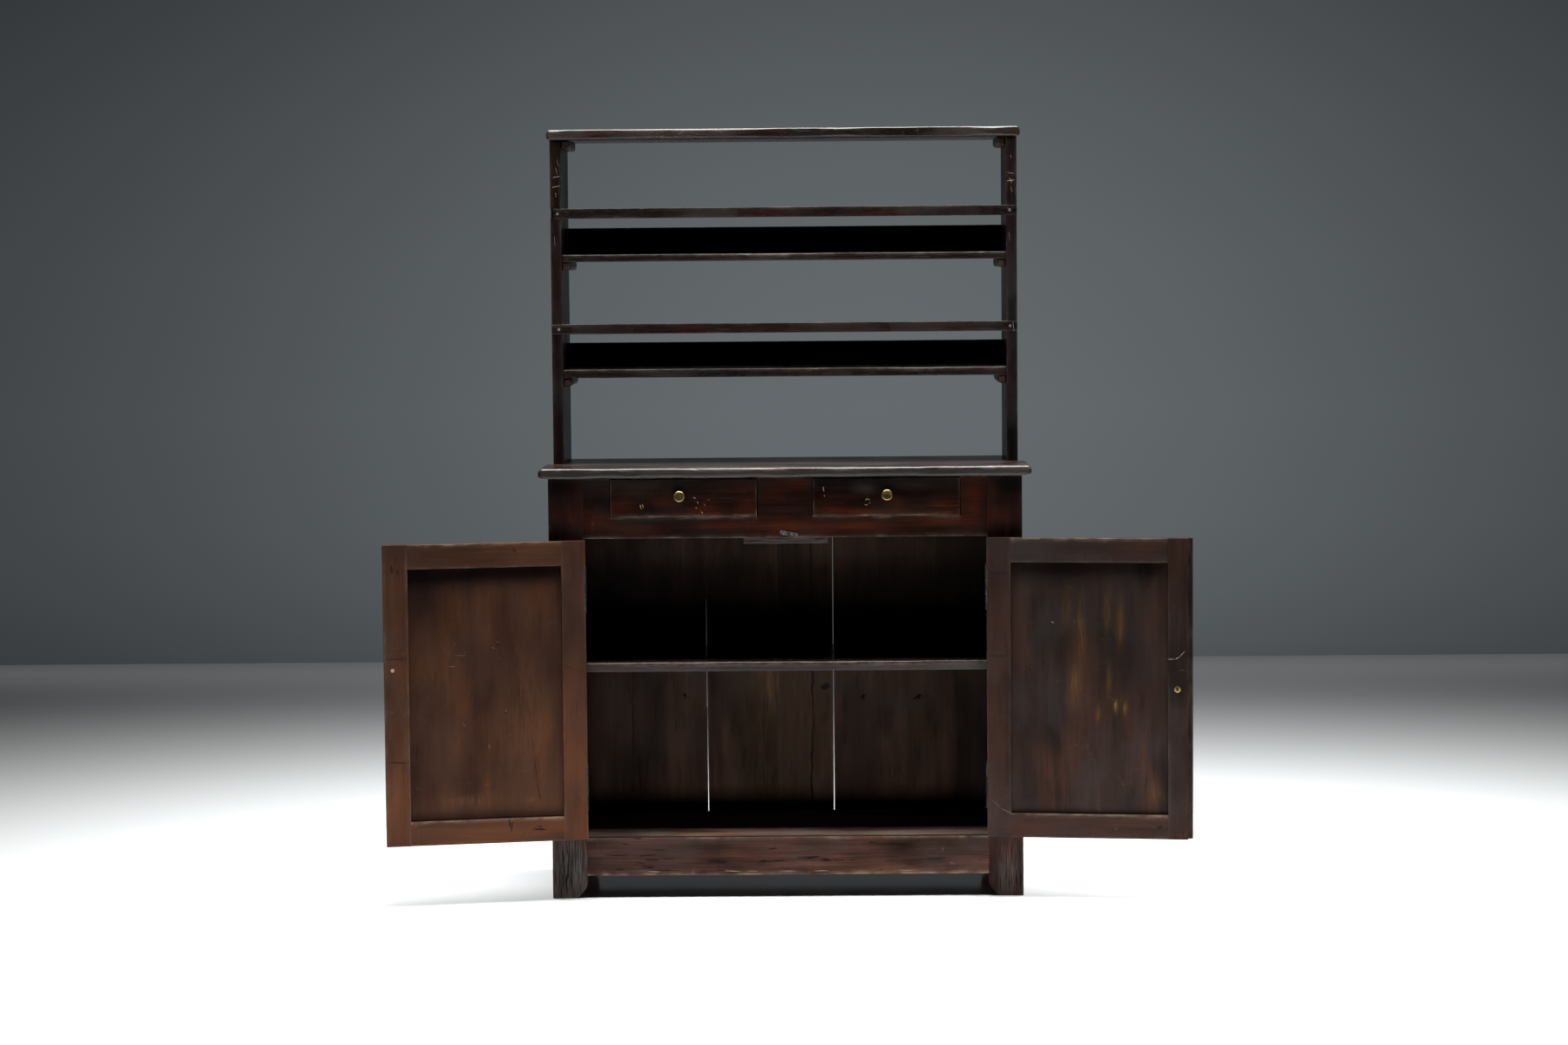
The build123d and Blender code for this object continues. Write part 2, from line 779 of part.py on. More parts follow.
def place_drawer(side):
    """All pieces of one drawer in the shut rest pose, by name."""
    name = "left_drawer" if side < 0 else "right_drawer"
    knob_x = left_drawer_knob if side < 0 else right_drawer_knob
    edges = sorted((side * drawer_opening_inner, side * drawer_opening_outer))
    x0 = edges[0] + drawer_side_gap
    x1 = edges[1] - drawer_side_gap
    front_back = front + drawer_front_thickness
    back_front = drawer_back_face - drawer_back_thickness
    bottom_z0 = drawer_bottom + drawer_bottom_rise
    bottom_z1 = bottom_z0 + drawer_bottom_thickness
    inner0 = x0 + drawer_side_thickness
    inner1 = x1 - drawer_side_thickness
    groove = block(
        inner0 - drawer_groove_depth - joint_fit, inner1 + drawer_groove_depth + joint_fit,
        front_back - drawer_groove_depth - joint_fit, drawer_back_face + overcut,
        bottom_z0 - joint_fit, bottom_z1 + joint_fit,
    )
    face_board = block(x0, x1, front, front_back, drawer_bottom, drawer_top)
    back_board = block(x0, x1, back_front, drawer_back_face, bottom_z1, drawer_top)
    sides = []
    for low_x, high_x in ((x0, inner0), (inner1, x1)):
        tails = drawer_tails(low_x, high_x)
        wood = block(low_x, high_x, front_back, back_front, drawer_bottom, drawer_top)
        foot = block(low_x, high_x, back_front, drawer_back_face, drawer_bottom, bottom_z1)
        wood += foot
        for tail in tails:
            wood += tail
            face_board -= tail
            back_board -= tail
        sides.append(wood - groove)
    face_board -= groove
    knob_seat = Pos(knob_x, front, drawer_knob_height)
    face_board -= knob_seat * Rot(-90, 0, 0) * Cylinder(
        knob_stem_radius + joint_fit, knob_stem_depth + joint_fit,
        align=(Align.CENTER, Align.CENTER, Align.MIN),
    )
    bottom = block(
        inner0 - drawer_groove_depth, inner1 + drawer_groove_depth,
        front_back - drawer_groove_depth, drawer_back_face, bottom_z0, bottom_z1,
    )
    return {
        name + "_front": [face_board],
        name + "_sides": sides,
        name + "_back": [back_board],
        name + "_bottom": [bottom],
        name + "_knob": [knob_seat * knob(knob_stem_depth)],
    }


# ---------------------------------------------------------------- the whole cupboard

def pairs(name, part):
    """A left-hand piece and its mirror image, by name."""
    return {"left_" + name: [part], "right_" + name: [mirrored(part)]}


def build():
    """Every sub-part of the cupboard: its name and its solids."""
    nodes = {}
    nodes.update(pairs("front_post", front_post()))
    nodes.update(pairs("side_board", side_board()))
    nodes.update(pairs("upright", upright()))
    nodes["apron_board"] = [apron_board()]
    nodes["bottom_rail"] = [bottom_rail()]
    nodes["worktop_front_board"] = [worktop_front_board()]
    nodes["worktop_rear_board"] = [worktop_rear_board()]
    for number in range(len(rear_joints) + 1):
        nodes["back_board_" + str(number + 1)] = [rear_board(number)]
    nodes["rear_rails"] = rear_rails()
    nodes["cupboard_floor"] = [cupboard_floor()]
    nodes["inner_shelf"] = [inner_shelf()]
    nodes["inner_bearers"] = inner_bearers()
    nodes["door_stop"] = [door_stop()]
    nodes["drawer_runners"] = drawer_runners()
    nodes["rack_top_board"] = [rack_top_board()]
    nodes["upper_plate_rail"] = [plate_rail(upper_plate_rail_centre, upper_plate_rail_short_end)]
    nodes["lower_plate_rail"] = [plate_rail(lower_plate_rail_centre, 0.0)]
    nodes["upper_rack_shelf"] = [rack_shelf(upper_shelf_top, upper_shelf_thickness)]
    nodes["lower_rack_shelf"] = [rack_shelf(lower_shelf_top, lower_shelf_thickness)]
    nodes["upper_rack_back_rail"] = [
        rack_back_rail(upper_shelf_top, upper_shelf_thickness, upper_back_rail_rise)
    ]
    nodes["lower_rack_back_rail"] = [
        rack_back_rail(lower_shelf_top, lower_shelf_thickness, lower_back_rail_rise)
    ]
    nodes["rack_cleats"] = rack_cleats()
    frame_leaves = [hinge_leaf(z, False) for z in hinge_centres()]
    pins = [hinge_pin(z) for z in hinge_centres()]
    nodes["frame_hinge_leaves"] = frame_leaves + [mirrored(leaf) for leaf in frame_leaves]
    nodes["hinge_pins"] = pins + [mirrored(pin) for pin in pins]
    nodes["turn_button"] = [turn_button()]
    nodes["turn_button_screw"] = [turn_button_screw()]
    nodes.update(left_door())
    nodes.update(right_door())
    nodes.update(place_drawer(-1))
    nodes.update(place_drawer(1))
    return nodes


def solids_of(shapes):
    """Flat list of the single solids in a list of shapes."""
    return [solid for shape in shapes for solid in shape.solids()]


os.makedirs("parts", exist_ok=True)
for node, shapes in build().items():
    found = solids_of(shapes)
    export_step(found[0] if len(found) == 1 else Compound(children=found), "parts/" + node + ".step")
    print(node, len(found))
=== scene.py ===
# %% [markdown]
# # A plate rack dresser in worn, stained wood
#
# The cupboard was packed as a set of exact pieces. Here each of them gets its looks: planed boards with
# rubbed arrises, dark stain and polish, aged brass and iron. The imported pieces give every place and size,
# so this lesson only dresses them.

# %% Load the fixed frame
import json
import math

import bpy
import numpy as np
from mathutils import Matrix, Vector


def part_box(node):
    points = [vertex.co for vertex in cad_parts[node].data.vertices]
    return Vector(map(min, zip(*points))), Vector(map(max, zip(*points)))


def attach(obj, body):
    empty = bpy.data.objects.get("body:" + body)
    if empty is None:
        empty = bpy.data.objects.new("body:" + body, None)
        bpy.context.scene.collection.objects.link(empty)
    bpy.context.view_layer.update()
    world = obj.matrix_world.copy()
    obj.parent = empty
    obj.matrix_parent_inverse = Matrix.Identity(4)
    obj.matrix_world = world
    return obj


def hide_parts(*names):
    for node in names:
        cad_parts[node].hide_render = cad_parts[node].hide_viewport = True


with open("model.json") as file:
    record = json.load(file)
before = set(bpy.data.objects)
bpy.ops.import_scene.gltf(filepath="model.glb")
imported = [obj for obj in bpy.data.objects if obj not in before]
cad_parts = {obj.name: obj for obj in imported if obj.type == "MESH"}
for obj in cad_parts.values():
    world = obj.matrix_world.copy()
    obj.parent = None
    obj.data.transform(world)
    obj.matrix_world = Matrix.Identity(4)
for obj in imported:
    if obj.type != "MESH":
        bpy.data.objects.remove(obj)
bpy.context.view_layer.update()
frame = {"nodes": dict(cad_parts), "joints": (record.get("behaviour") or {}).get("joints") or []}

# %% [markdown]
# ## Where things are
#
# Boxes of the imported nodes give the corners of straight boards. The two doors stand open, so their pieces
# lie turned. It is easier to make them shut, square to the axes, and then to swing them out about the hinge
# pin, which is what a joiner does too. The shut position is the far end of each hinge's range.

# %% Corners of nodes, and the swing of the doors
MM = 0.001
joints = {joint["name"]: joint for joint in frame["joints"]}


def box(node):
    """Lowest and highest corner of a node, in metres."""
    low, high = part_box(node)
    return np.array(low), np.array(high)


def shut_angle(side):
    """How far an open door turns to shut, in radians: the larger end of its hinge's range."""
    return math.radians(max(joints[side + "_door_hinge"]["range_deg"], key=abs))


def swing(points, side, angle):
    """Turn points about a door's pin: x and y are rotated in the plane, z stays."""
    pin = np.array(joints[side + "_door_hinge"]["pos_m"])
    offset = points - pin
    turned = offset.copy()
    turned[..., 0] = math.cos(angle) * offset[..., 0] - math.sin(angle) * offset[..., 1]
    turned[..., 1] = math.sin(angle) * offset[..., 0] + math.cos(angle) * offset[..., 1]
    return turned + pin


def open_door(side):
    """The swing from the shut door to the open one, as a function of points."""
    return lambda points: swing(points, side, -shut_angle(side))


def points_of(node_name):
    """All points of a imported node."""
    mesh = frame["nodes"][node_name].data
    points = np.zeros(len(mesh.vertices) * 3)
    mesh.vertices.foreach_get("co", points)
    return points.reshape(-1, 3)


def shut_box(side, piece):
    """Corners of a door piece as it lies when the door is shut."""
    points = swing(points_of(side + "_door_" + piece), side, shut_angle(side))
    return points.min(axis=0), points.max(axis=0)


for side in ("left", "right"):
    print(side, "door, shut:", [np.round(corner, 4).tolist() for corner in shut_box(side, "hinge_stile")])

# %% [markdown]
# ## Camera
#
# The cupboard is seen from the front, a little from the right, from eye height and from far off, so its
# lines hardly converge. The long lens keeps the same width of view on a 36 mm sensor.

# %% Camera
camera_place = (0.1007, -8.8478, 1.4869)
camera_yaw, camera_pitch, camera_roll = 0.685, 3.989, 0.494
focal_length = 84.81

camera_data = bpy.data.cameras.new("camera")
camera_data.lens = focal_length
camera = bpy.data.objects.new("camera", camera_data)
bpy.context.scene.collection.objects.link(camera)
camera.matrix_world = (
    Matrix.Translation(camera_place)
    @ Matrix.Rotation(math.radians(camera_yaw), 4, "Z")
    @ Matrix.Rotation(math.radians(90 - camera_pitch), 4, "X")
    @ Matrix.Rotation(math.radians(-camera_roll), 4, "Z")
)
bpy.context.scene.camera = camera
print("camera at", camera_place)

# %% [markdown]
# ## Noise worked out with numpy
#
# Wear is uneven: an arris is sharp here and rubbed round there. A smooth random value for every point
# drives it. Space is cut into cells, each cell corner gets a random number made from its whole coordinates,
# and a point takes a smooth mixture of its cell's eight corners.

# %% Value noise
def cell_value(cell, seed):
    """Random number from -1 to 1 for each whole cell: its coordinates times large primes, mixed."""
    x, y, z = np.moveaxis(cell.astype(np.uint32), -1, 0)
    mixed = x * np.uint32(73856093) ^ y * np.uint32(19349663) ^ z * np.uint32(83492791)
    mixed = mixed ^ np.uint32(seed * 7919)
    mixed = (mixed ^ (mixed >> np.uint32(13))) * np.uint32(1274126177)
    mixed = mixed ^ (mixed >> np.uint32(16))
    return (mixed & np.uint32(0xFFFF)) / 32767.5 - 1.0


def noise(points, cell_mm, seed):
    """Smooth value from -1 to 1: the cell's eight corners, each weighted by 3t^2 - 2t^3 along x, y and z.

    cell_mm is a cell's size, one number or one for each axis.
    """
    place = points / (np.array(cell_mm) * MM)
    cell = np.floor(place).astype(np.int64)
    t = place - cell
    t = t * t * (3 - 2 * t)
    value = np.zeros(points.shape[:-1])
    for corner in np.ndindex(2, 2, 2):
        weight = np.prod(np.where(np.array(corner) == 1, t, 1 - t), axis=-1)
        value += weight * cell_value(cell + np.array(corner), seed)
    return value


sample = noise(np.random.default_rng(1).uniform(0, 1, (1000, 3)), 40, 3)
print("noise from", round(float(sample.min()), 2), "to", round(float(sample.max()), 2))

# %% [markdown]
# ## From rings of points to a mesh
#
# Every board, rail, knob and nail here is the same kind of surface: a ring of points carried along a line
# and closed at both ends. The rings lie in one array, so the faces follow from counting, and Blender gets
# them in a few calls.

# %% Closed tubes
SHARP_ANGLE = math.radians(38)


def tube_mesh(name, rings, facts=None):
    """Mesh of closed tubes. rings is (tubes, stations, ring points, 3); facts are values for every point.

    Point i of station s joins point i + 1 and the same two points of station s + 1. The first and the last
    ring are filled, so no tube is open.
    """
    tubes, stations, around = rings.shape[:3]
    index = np.arange(tubes * stations * around).reshape(tubes, stations, around)
    here, ahead = index[:, :-1], index[:, 1:]
    quads = np.stack([here, np.roll(here, -1, 2), np.roll(ahead, -1, 2), ahead], axis=-1).reshape(-1, 4)
    caps = np.concatenate([index[:, 0, ::-1], index[:, -1]])
    corners = np.concatenate([quads.ravel(), caps.ravel()])
    starts = np.concatenate([np.arange(len(quads)) * 4, len(quads) * 4 + np.arange(len(caps)) * around])
    mesh = bpy.data.meshes.new(name)
    mesh.vertices.add(index.size)
    mesh.vertices.foreach_set("co", rings.astype(np.float32).ravel())
    mesh.loops.add(len(corners))
    mesh.loops.foreach_set("vertex_index", corners.astype(np.int32))
    mesh.polygons.add(len(starts))
    mesh.polygons.foreach_set("loop_start", starts.astype(np.int32))
    mesh.update(calc_edges=True)
    mesh.validate()
    for fact, values in (facts or {}).items():
        kind, field = ("FLOAT_VECTOR", "vector") if values.ndim == 4 else ("FLOAT", "value")
        mesh.attributes.new(fact, kind, "POINT").data.foreach_set(field, values.astype(np.float32).ravel())
    mesh.shade_smooth()
    mesh.set_sharp_from_angle(angle=SHARP_ANGLE)
    return mesh


def show(name, mesh, material, body, slot, *nodes):
    """Put a mesh in the scene at the origin, finished, riding on its body and standing for its nodes."""
    piece = bpy.data.objects.new(name, mesh)
    bpy.context.scene.collection.objects.link(piece)
    mesh.materials.append(material)
    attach(piece, body)
    if nodes:
        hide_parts(*nodes)


print("edges look sharp above", round(math.degrees(SHARP_ANGLE)), "degrees")

# %% [markdown]
# ## Colour and finish
#
# Old furniture has few colours but many depths: dark stain sits in the pores, polish has gone warm where
# light and hands reached it, arrises are rubbed back to lighter wood, and a grey haze of wax and dust lies
# over the rest. One recipe mixes those layers, and each wood gives it its own colours.

# %% Colours and nodes
def colour(code):
    """sRGB hex to linear: c / 12.92 below 0.04045, else ((c + 0.055) / 1.055) ^ 2.4, with alpha 1."""
    parts = [int(code[i:i + 2], 16) / 255 for i in (1, 3, 5)]
    return tuple(c / 12.92 if c < 0.04045 else ((c + 0.055) / 1.055) ** 2.4 for c in parts) + (1.0,)


def feed(made, inputs):
    """Give a node's sockets a value, or link the output that feeds them."""
    for key, value in inputs.items():
        if isinstance(value, bpy.types.NodeSocket):
            made.id_data.links.new(value, made.inputs[key])
        else:
            made.inputs[key].default_value = value


def node(tree, kind, inputs=None, out=0, **settings):
    """Add one shader node with its own settings, feed its inputs, and give one of its outputs."""
    made = tree.nodes.new("ShaderNode" + kind)
    for key, value in settings.items():
        setattr(made, key, value)
    feed(made, inputs or {})
    return made.outputs[out]


def reckon(tree, value, *steps):
    """A sum in nodes: a value goes through steps one after another, each an operation and a number."""
    for operation, number in steps:
        value = node(tree, "Math", {0: value, 1: number}, operation=operation)
    return value


def lay(tree, paint, *layers):
    """Colours laid over the paint one after another, each by its own amount."""
    for code, amount in layers:
        paint = node(tree, "Mix", {0: amount, 6: paint, 7: colour(code)}, 2, data_type="RGBA")
    return paint


def blank(name):
    """New material with its tree and its shader."""
    material = bpy.data.materials.new(name)
    material.use_nodes = True
    tree = material.node_tree
    return material, tree, tree.nodes["Principled BSDF"]


print("mid grey in linear light:", round(colour("#808080")[0], 3))

# %% [markdown]
# ### Stained and waxed wood
#
# Oak and fruitwood of this age were planed by hand, stained nearly black-brown and waxed. The eye sees soft
# clouds a hand wide, bands of grain a finger wide and fine streaks of 2 mm, and over them short dark pores,
# a drying check now and then, pale scratches and specks. Pores under a millimetre don't show from across a
# room, so they are drawn 1.2 mm wide. The grain runs along x of the pattern, wherever the board points: each
# board keeps its own lengthwise coordinates in the attribute "grain", how rubbed it is in "wear", in "mark"
# its pale stains, above zero, with a few pale spots of painted light, and warm ones, below zero, and in
# "shade" what darkens and dulls it: painted shade under overhangs, on undersides and towards
# the tops of the doors, with some real dirt and old varnish.

# %% Patterns along the grain
PORE_LENGTH, PORE_WIDTH = 14, 1.2


def pattern(grain, along, across, shift, detail):
    """Noise in the grain's own coordinates, along mm long and across mm wide."""
    tree = grain.id_data
    size = (1 / (along * MM), 1 / (across * MM), 1 / (across * MM))
    placed = node(tree, "Mapping", {"Vector": grain, "Location": (shift,) * 3, "Scale": size})
    return node(tree, "TexNoise", {"Vector": placed, "Scale": 1.0, "Detail": detail, "Roughness": 0.6})


def patches(grain, along, across, shift, detail, low, high, top=1.0, bottom=0.0):
    """The pattern in patches: bottom where its noise is below low, going smoothly to top at high."""
    limits = {"From Min": low, "From Max": high, "To Min": bottom, "To Max": top}
    limits["Value"] = pattern(grain, along, across, shift, detail)
    return node(grain.id_data, "MapRange", limits, interpolation_type="SMOOTHSTEP")


def thin_lines(grain, length, width, half_mm, shift, rare, amount):
    """Thin broken lines: where a noise crosses its middle, kept where a second noise is above rare."""
    tree = grain.id_data
    off = reckon(tree, pattern(grain, length, width, shift, 1.5), ("SUBTRACT", 0.5), ("ABSOLUTE", 0.0))
    limits = {"Value": off, "From Max": half_mm / width, "To Min": 1.0, "To Max": 0.0}
    line = node(tree, "MapRange", limits, interpolation_type="SMOOTHSTEP")
    here = patches(grain, length / 2, width * 2, shift + 4.3, 1.0, rare, rare + 0.05)
    return reckon(tree, line, ("MULTIPLY", here), ("MULTIPLY", amount))


print("a pore is drawn", PORE_LENGTH, "mm long and", PORE_WIDTH, "mm wide")

# %% Wood recipe
PORE_DIRT, CHECK_DIRT = "#060404", "#040303"


def stained_wood(name, deep, ground, warm, rubbed, haze, mark="#8a6a3c", roughness=0.42,
                 haze_amount=0.35, warm_amount=0.7, check_amount=0.6, rub_amount=0.8, contrast=1.0,
                 depth=0.4, shine=0.03, axis=None):
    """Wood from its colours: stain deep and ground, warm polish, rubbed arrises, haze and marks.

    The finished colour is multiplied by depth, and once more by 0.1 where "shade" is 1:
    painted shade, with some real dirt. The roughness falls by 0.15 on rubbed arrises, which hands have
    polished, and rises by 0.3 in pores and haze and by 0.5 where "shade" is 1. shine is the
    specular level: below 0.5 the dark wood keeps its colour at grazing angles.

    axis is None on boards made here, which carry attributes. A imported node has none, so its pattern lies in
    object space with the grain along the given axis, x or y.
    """
    material, tree, shader = blank(name)
    if axis is None:
        grain = node(tree, "Attribute", out="Vector", attribute_name="grain")
    else:
        turn = (0, 0, {"x": 0, "y": math.pi / 2}[axis])
        grain = node(tree, "Mapping", {"Vector": node(tree, "TexCoord", out="Object"), "Rotation": turn})
    clouds = patches(grain, 300, 140, 0.0, 2.0, 0.30, 0.70)
    warmth = patches(grain, 320, 90, 7.3, 3.0, 0.44, 0.72, warm_amount)
    paint = lay(tree, colour(deep), (ground, clouds), (warm, warmth))
    bands = patches(grain, 240, 14, 3.1, 3.0, 0.25, 0.75, 1 + 0.38 * contrast, 1 - 0.38 * contrast)
    streaks = pattern(grain, 110, 2.6, 9.4, 4.0)
    limits = {"Value": streaks, "From Min": 0.25, "From Max": 0.75,
              "To Min": 1 - 0.45 * contrast, "To Max": 1 + 0.45 * contrast}
    fine = node(tree, "MapRange", limits, interpolation_type="SMOOTHSTEP")
    tone = reckon(tree, bands, ("MULTIPLY", fine))
    paint = node(tree, "VectorMath", {0: paint, "Scale": tone}, operation="SCALE")
    pores = patches(grain, PORE_LENGTH, PORE_WIDTH, 5.7, 2.0, 0.60, 0.74)
    checks = thin_lines(grain, 170, 9, 0.45, 1.9, 0.60, check_amount)
    dull = patches(grain, 170, 110, 11.0, 3.0, 0.42, 0.72, haze_amount)
    scratches = thin_lines(grain, 45, 60, 0.5, 13.7, 0.62, 0.08)
    specks = patches(grain, 1.6, 1.3, 2.6, 1.0, 0.77, 0.83, 0.3)
    paint = lay(tree, paint, (PORE_DIRT, reckon(tree, pores, ("MULTIPLY", 0.5))), (CHECK_DIRT, checks),
                (haze, dull), (rubbed, scratches), (rubbed, specks))
    if axis is None:
        # The shade attribute darkens and dulls the wood: painted shade under overhangs, on undersides and
        # towards the door tops, with some real dirt.
        worn, stain, shade = (node(tree, "Attribute", out="Fac", attribute_name=fact)
                              for fact in ("wear", "mark", "shade"))
        uneven = patches(grain, 30, 12, 6.6, 4.0, 0.25, 0.75)
        bared = reckon(tree, worn, ("MULTIPLY", uneven), ("MULTIPLY", rub_amount))
        broken = patches(grain, 55, 2, 8.8, 4.0, 0.34, 0.62)
        pale = reckon(tree, stain, ("MAXIMUM", 0.0), ("MULTIPLY", broken))
        amber = reckon(tree, stain, ("MULTIPLY", -1.0), ("MAXIMUM", 0.0), ("MULTIPLY", tone))
        paint = lay(tree, paint, (rubbed, bared), (mark, pale), (warm, amber))
        dull = reckon(tree, dull, ("ADD", reckon(tree, shade, ("MULTIPLY", 1.6))),
                      ("SUBTRACT", reckon(tree, worn, ("MULTIPLY", 0.5))))
        limits = {"Value": shade, "To Min": depth, "To Max": 0.1 * depth}
        depth = node(tree, "MapRange", limits, interpolation_type="SMOOTHSTEP")
    limits = {"Value": reckon(tree, dull, ("ADD", pores)), "From Min": -0.5, "From Max": 2.0,
              "To Min": roughness - 0.15, "To Max": roughness + 0.6}
    height = reckon(tree, streaks, ("MULTIPLY", 0.5),
                    ("SUBTRACT", reckon(tree, pores, ("MULTIPLY", 0.35))),
                    ("SUBTRACT", reckon(tree, checks, ("MULTIPLY", 1.6))))
    feed(shader, {
        "Base Color": node(tree, "VectorMath", {0: paint, "Scale": depth}, operation="SCALE"),
        "Roughness": node(tree, "MapRange", limits),
        "IOR": 1.5,
        "Specular IOR Level": shine,
        "Normal": node(tree, "Bump", {"Height": height, "Strength": 0.45, "Distance": 0.6 * MM}),
    })
    return material


print("dirt in the pores in linear light:", round(colour(PORE_DIRT)[0], 4))

# %% [markdown]
# The rack is oak stained nearly black, the front fruitwood, the doors pine. Under one dark stain they still
# differ: oak stays cold and grey, fruitwood goes red-brown, and pine keeps the most warmth. Wood inside the
# cupboard never had polish, so it is dull, and its floor is grey with dust.

# %% The woods
rack_wood = stained_wood("stained oak, near black", "#120c0b", "#241a18", "#3d2019", "#9a8a7e", "#4a4744",
                         roughness=0.26, warm_amount=0.6, rub_amount=0.5, depth=0.25, shine=0.15)
upright_wood = stained_wood("stained oak uprights", "#120c0b", "#241a18", "#38201a", "#9a8a7e", "#4a4744",
                            roughness=0.3, warm_amount=0.5, rub_amount=0.5, depth=0.22, shine=0.07)
crown_wood = stained_wood("waxed oak top board", "#120c0b", "#241a18", "#3a211b", "#8d7c70", "#4a4744",
                          roughness=0.18, warm_amount=0.6, rub_amount=0.3, depth=0.5, shine=0.2)
top_wood = stained_wood("waxed oak worktop", "#1d1210", "#3c2b26", "#4a2d25", "#b5a59b", "#5a5552",
                        roughness=0.2, haze_amount=0.4, depth=0.28, shine=0.2)
front_wood = stained_wood("polished fruitwood front", "#0c0504", "#23110a", "#4e2210", "#b8a08c", "#2b2827",
                          mark="#7a7470", roughness=0.3, haze_amount=0.3, warm_amount=0.3, rub_amount=0.6)
post_wood = stained_wood("polished fruitwood posts", "#120807", "#26110b", "#4e200f", "#8d7460", "#2e2a29",
                         mark="#8a8580", roughness=0.34, warm_amount=0.4, rub_amount=0.35)
left_wood = stained_wood("waxed pine, left door", "#2e1c15", "#492e22", "#5c3722", "#b09a84", "#423028",
                         mark="#8b5f40", roughness=0.4, haze_amount=0.5, warm_amount=0.55, check_amount=0.3,
                         rub_amount=0.4, contrast=0.3, depth=0.42)
right_wood = stained_wood("waxed pine, right door", "#221916", "#372925", "#4c2f22", "#b8a48e", "#3c3736",
                          mark="#8f6630", roughness=0.4, haze_amount=0.45, warm_amount=0.5, check_amount=0.3,
                          rub_amount=0.4, contrast=0.4, depth=0.36)
sill_wood = stained_wood("worn bottom rail", "#20140f", "#46302a", "#5c3c30", "#cbb098", "#4a4441",
                         roughness=0.5, check_amount=1.0, haze_amount=0.3, rub_amount=0.5, contrast=0.8,
                         depth=0.37)
inside_wood = stained_wood("unpolished dark boards", "#0e0a09", "#1f1612", "#33231c", "#4a3a30", "#24211f",
                           mark="#6a4f2c", roughness=0.6, haze_amount=0.25, warm_amount=0.5, contrast=0.4,
                           depth=0.8)
raw_wood = {axis: stained_wood("unpolished dark boards, grain along " + axis, "#0f0a08", "#211713", "#33201a",
                               "#4a3a30", "#2c2a2a", roughness=0.62, depth=0.6, axis=axis) for axis in "xy"}
dusty_wood = stained_wood("dust on the cupboard's floor", "#2a221c", "#5a4a40", "#5e4536", "#6a5a4a",
                          "#54504c", roughness=0.7, haze_amount=0.5, contrast=0.8, depth=0.9)
print("wood materials:", 11 + len(raw_wood))

# %% [markdown]
# What fills a joint, a check or a scratch is a matt crumb of two near colours, mottled by a noise of 1 to
# 2 mm, so that it never looks like a painted line.

# %% Crumb recipe
def speckled(name, dark, light, per_metre, detail, roughness, specular):
    """Matt filling: two colours mixed by a noise with so many cells per metre."""
    material, tree, shader = blank(name)
    speckle = node(tree, "TexNoise", {"Scale": per_metre, "Detail": detail})
    paint = lay(tree, colour(dark), (light, speckle))
    feed(shader, {"Base Color": paint, "Roughness": roughness, "Specular IOR Level": specular})
    return material


print("900 cells per metre make crumbs of", round(1000 / 900, 1), "mm")

# %% [markdown]
# ### Brass and iron
#
# The knobs are turned brass gone olive-brown, with the rim still bright where fingers grip it. The hinges
# and the turn button are forged iron, almost black, with lighter metal where they rub.

# %% Metal recipe
def old_metal(name, dark, bright, roughness, rub_amount, clouds_mm):
    """Metal whose tarnish, dark, is rubbed to bright by the attribute wear and by clouds of a given size."""
    material, tree, shader = blank(name)
    place = node(tree, "TexCoord", out="Object")
    cloud = node(tree, "TexNoise", {"Vector": place, "Scale": 1 / (clouds_mm * MM), "Detail": 5.0})
    worn = node(tree, "Attribute", out="Fac", attribute_name="wear")
    rub = reckon(tree, worn, ("MULTIPLY", rub_amount))
    spread = node(tree, "MapRange", {"Value": cloud, "From Min": 0.42, "From Max": 0.72, "To Max": 0.25})
    amount = node(tree, "Math", {0: rub, 1: spread}, operation="ADD", use_clamp=True)
    gloss = {"Value": amount, "To Min": roughness, "To Max": roughness * 0.6}
    feed(shader, {
        "Base Color": lay(tree, colour(dark), (bright, amount)),
        "Roughness": node(tree, "MapRange", gloss),
        "Metallic": 1.0,
        "Normal": node(tree, "Bump", {"Height": cloud, "Strength": 0.3, "Distance": 0.3 * MM}),
    })
    return material


brass = old_metal("aged turned brass", "#2d2312", "#8f8056", 0.48, 0.7, 6)
iron = old_metal("forged iron", "#252322", "#8d8b88", 0.55, 0.8, 9)
rubbed_iron = old_metal("forged iron rubbed bright", "#33302d", "#d8d4cc", 0.4, 0.8, 3)
print("metal materials: 3")

# %% [markdown]
# ## A worn board
#
# A board is a rectangle carried along its grain, with each corner of the rectangle rounded by its own
# radius. Wear changes that radius along the arris: noise makes it swell and shrink, sharp peaks of finer
# noise become nicks, and listed dents are added. The faces get the shallow waves of a hand plane.
# A board only ever loses wood, so it stays inside the imported piece that it stands for. Pale marks and warm
# glows are mostly where the wood really has them, a few pale ones are painted light or sheen, and the dark
# spots are painted shade with some real dirt: each is a soft spot with its own middle and size.

# %% Stations and rounded rings
ARC_POINTS = 5
JOIN_STEP = 0.02 * MM


def along_board(start, end, spacing, breaks, end_round):
    """Stations along a board and how far each is drawn in: a quarter circle at both ends, even in between."""
    turn = np.linspace(0, math.pi / 2, ARC_POINTS)[:-1]
    near = start + end_round * (1 - np.cos(turn))
    plain = np.linspace(start + end_round, end - end_round, max(3, round((end - start) / spacing)))
    plain = plain[[np.all(np.abs(s - np.array(breaks)) > spacing / 4) if breaks else True for s in plain]]
    paired = [place + step for place in breaks for step in (-JOIN_STEP, JOIN_STEP)]
    middle = np.sort(np.concatenate([plain, paired]))
    stations = np.concatenate([near, middle, (start + end - near)[::-1]])
    rounding = end_round * (1 - np.sin(turn))
    return stations, np.concatenate([rounding, 0 * middle, rounding[::-1]])


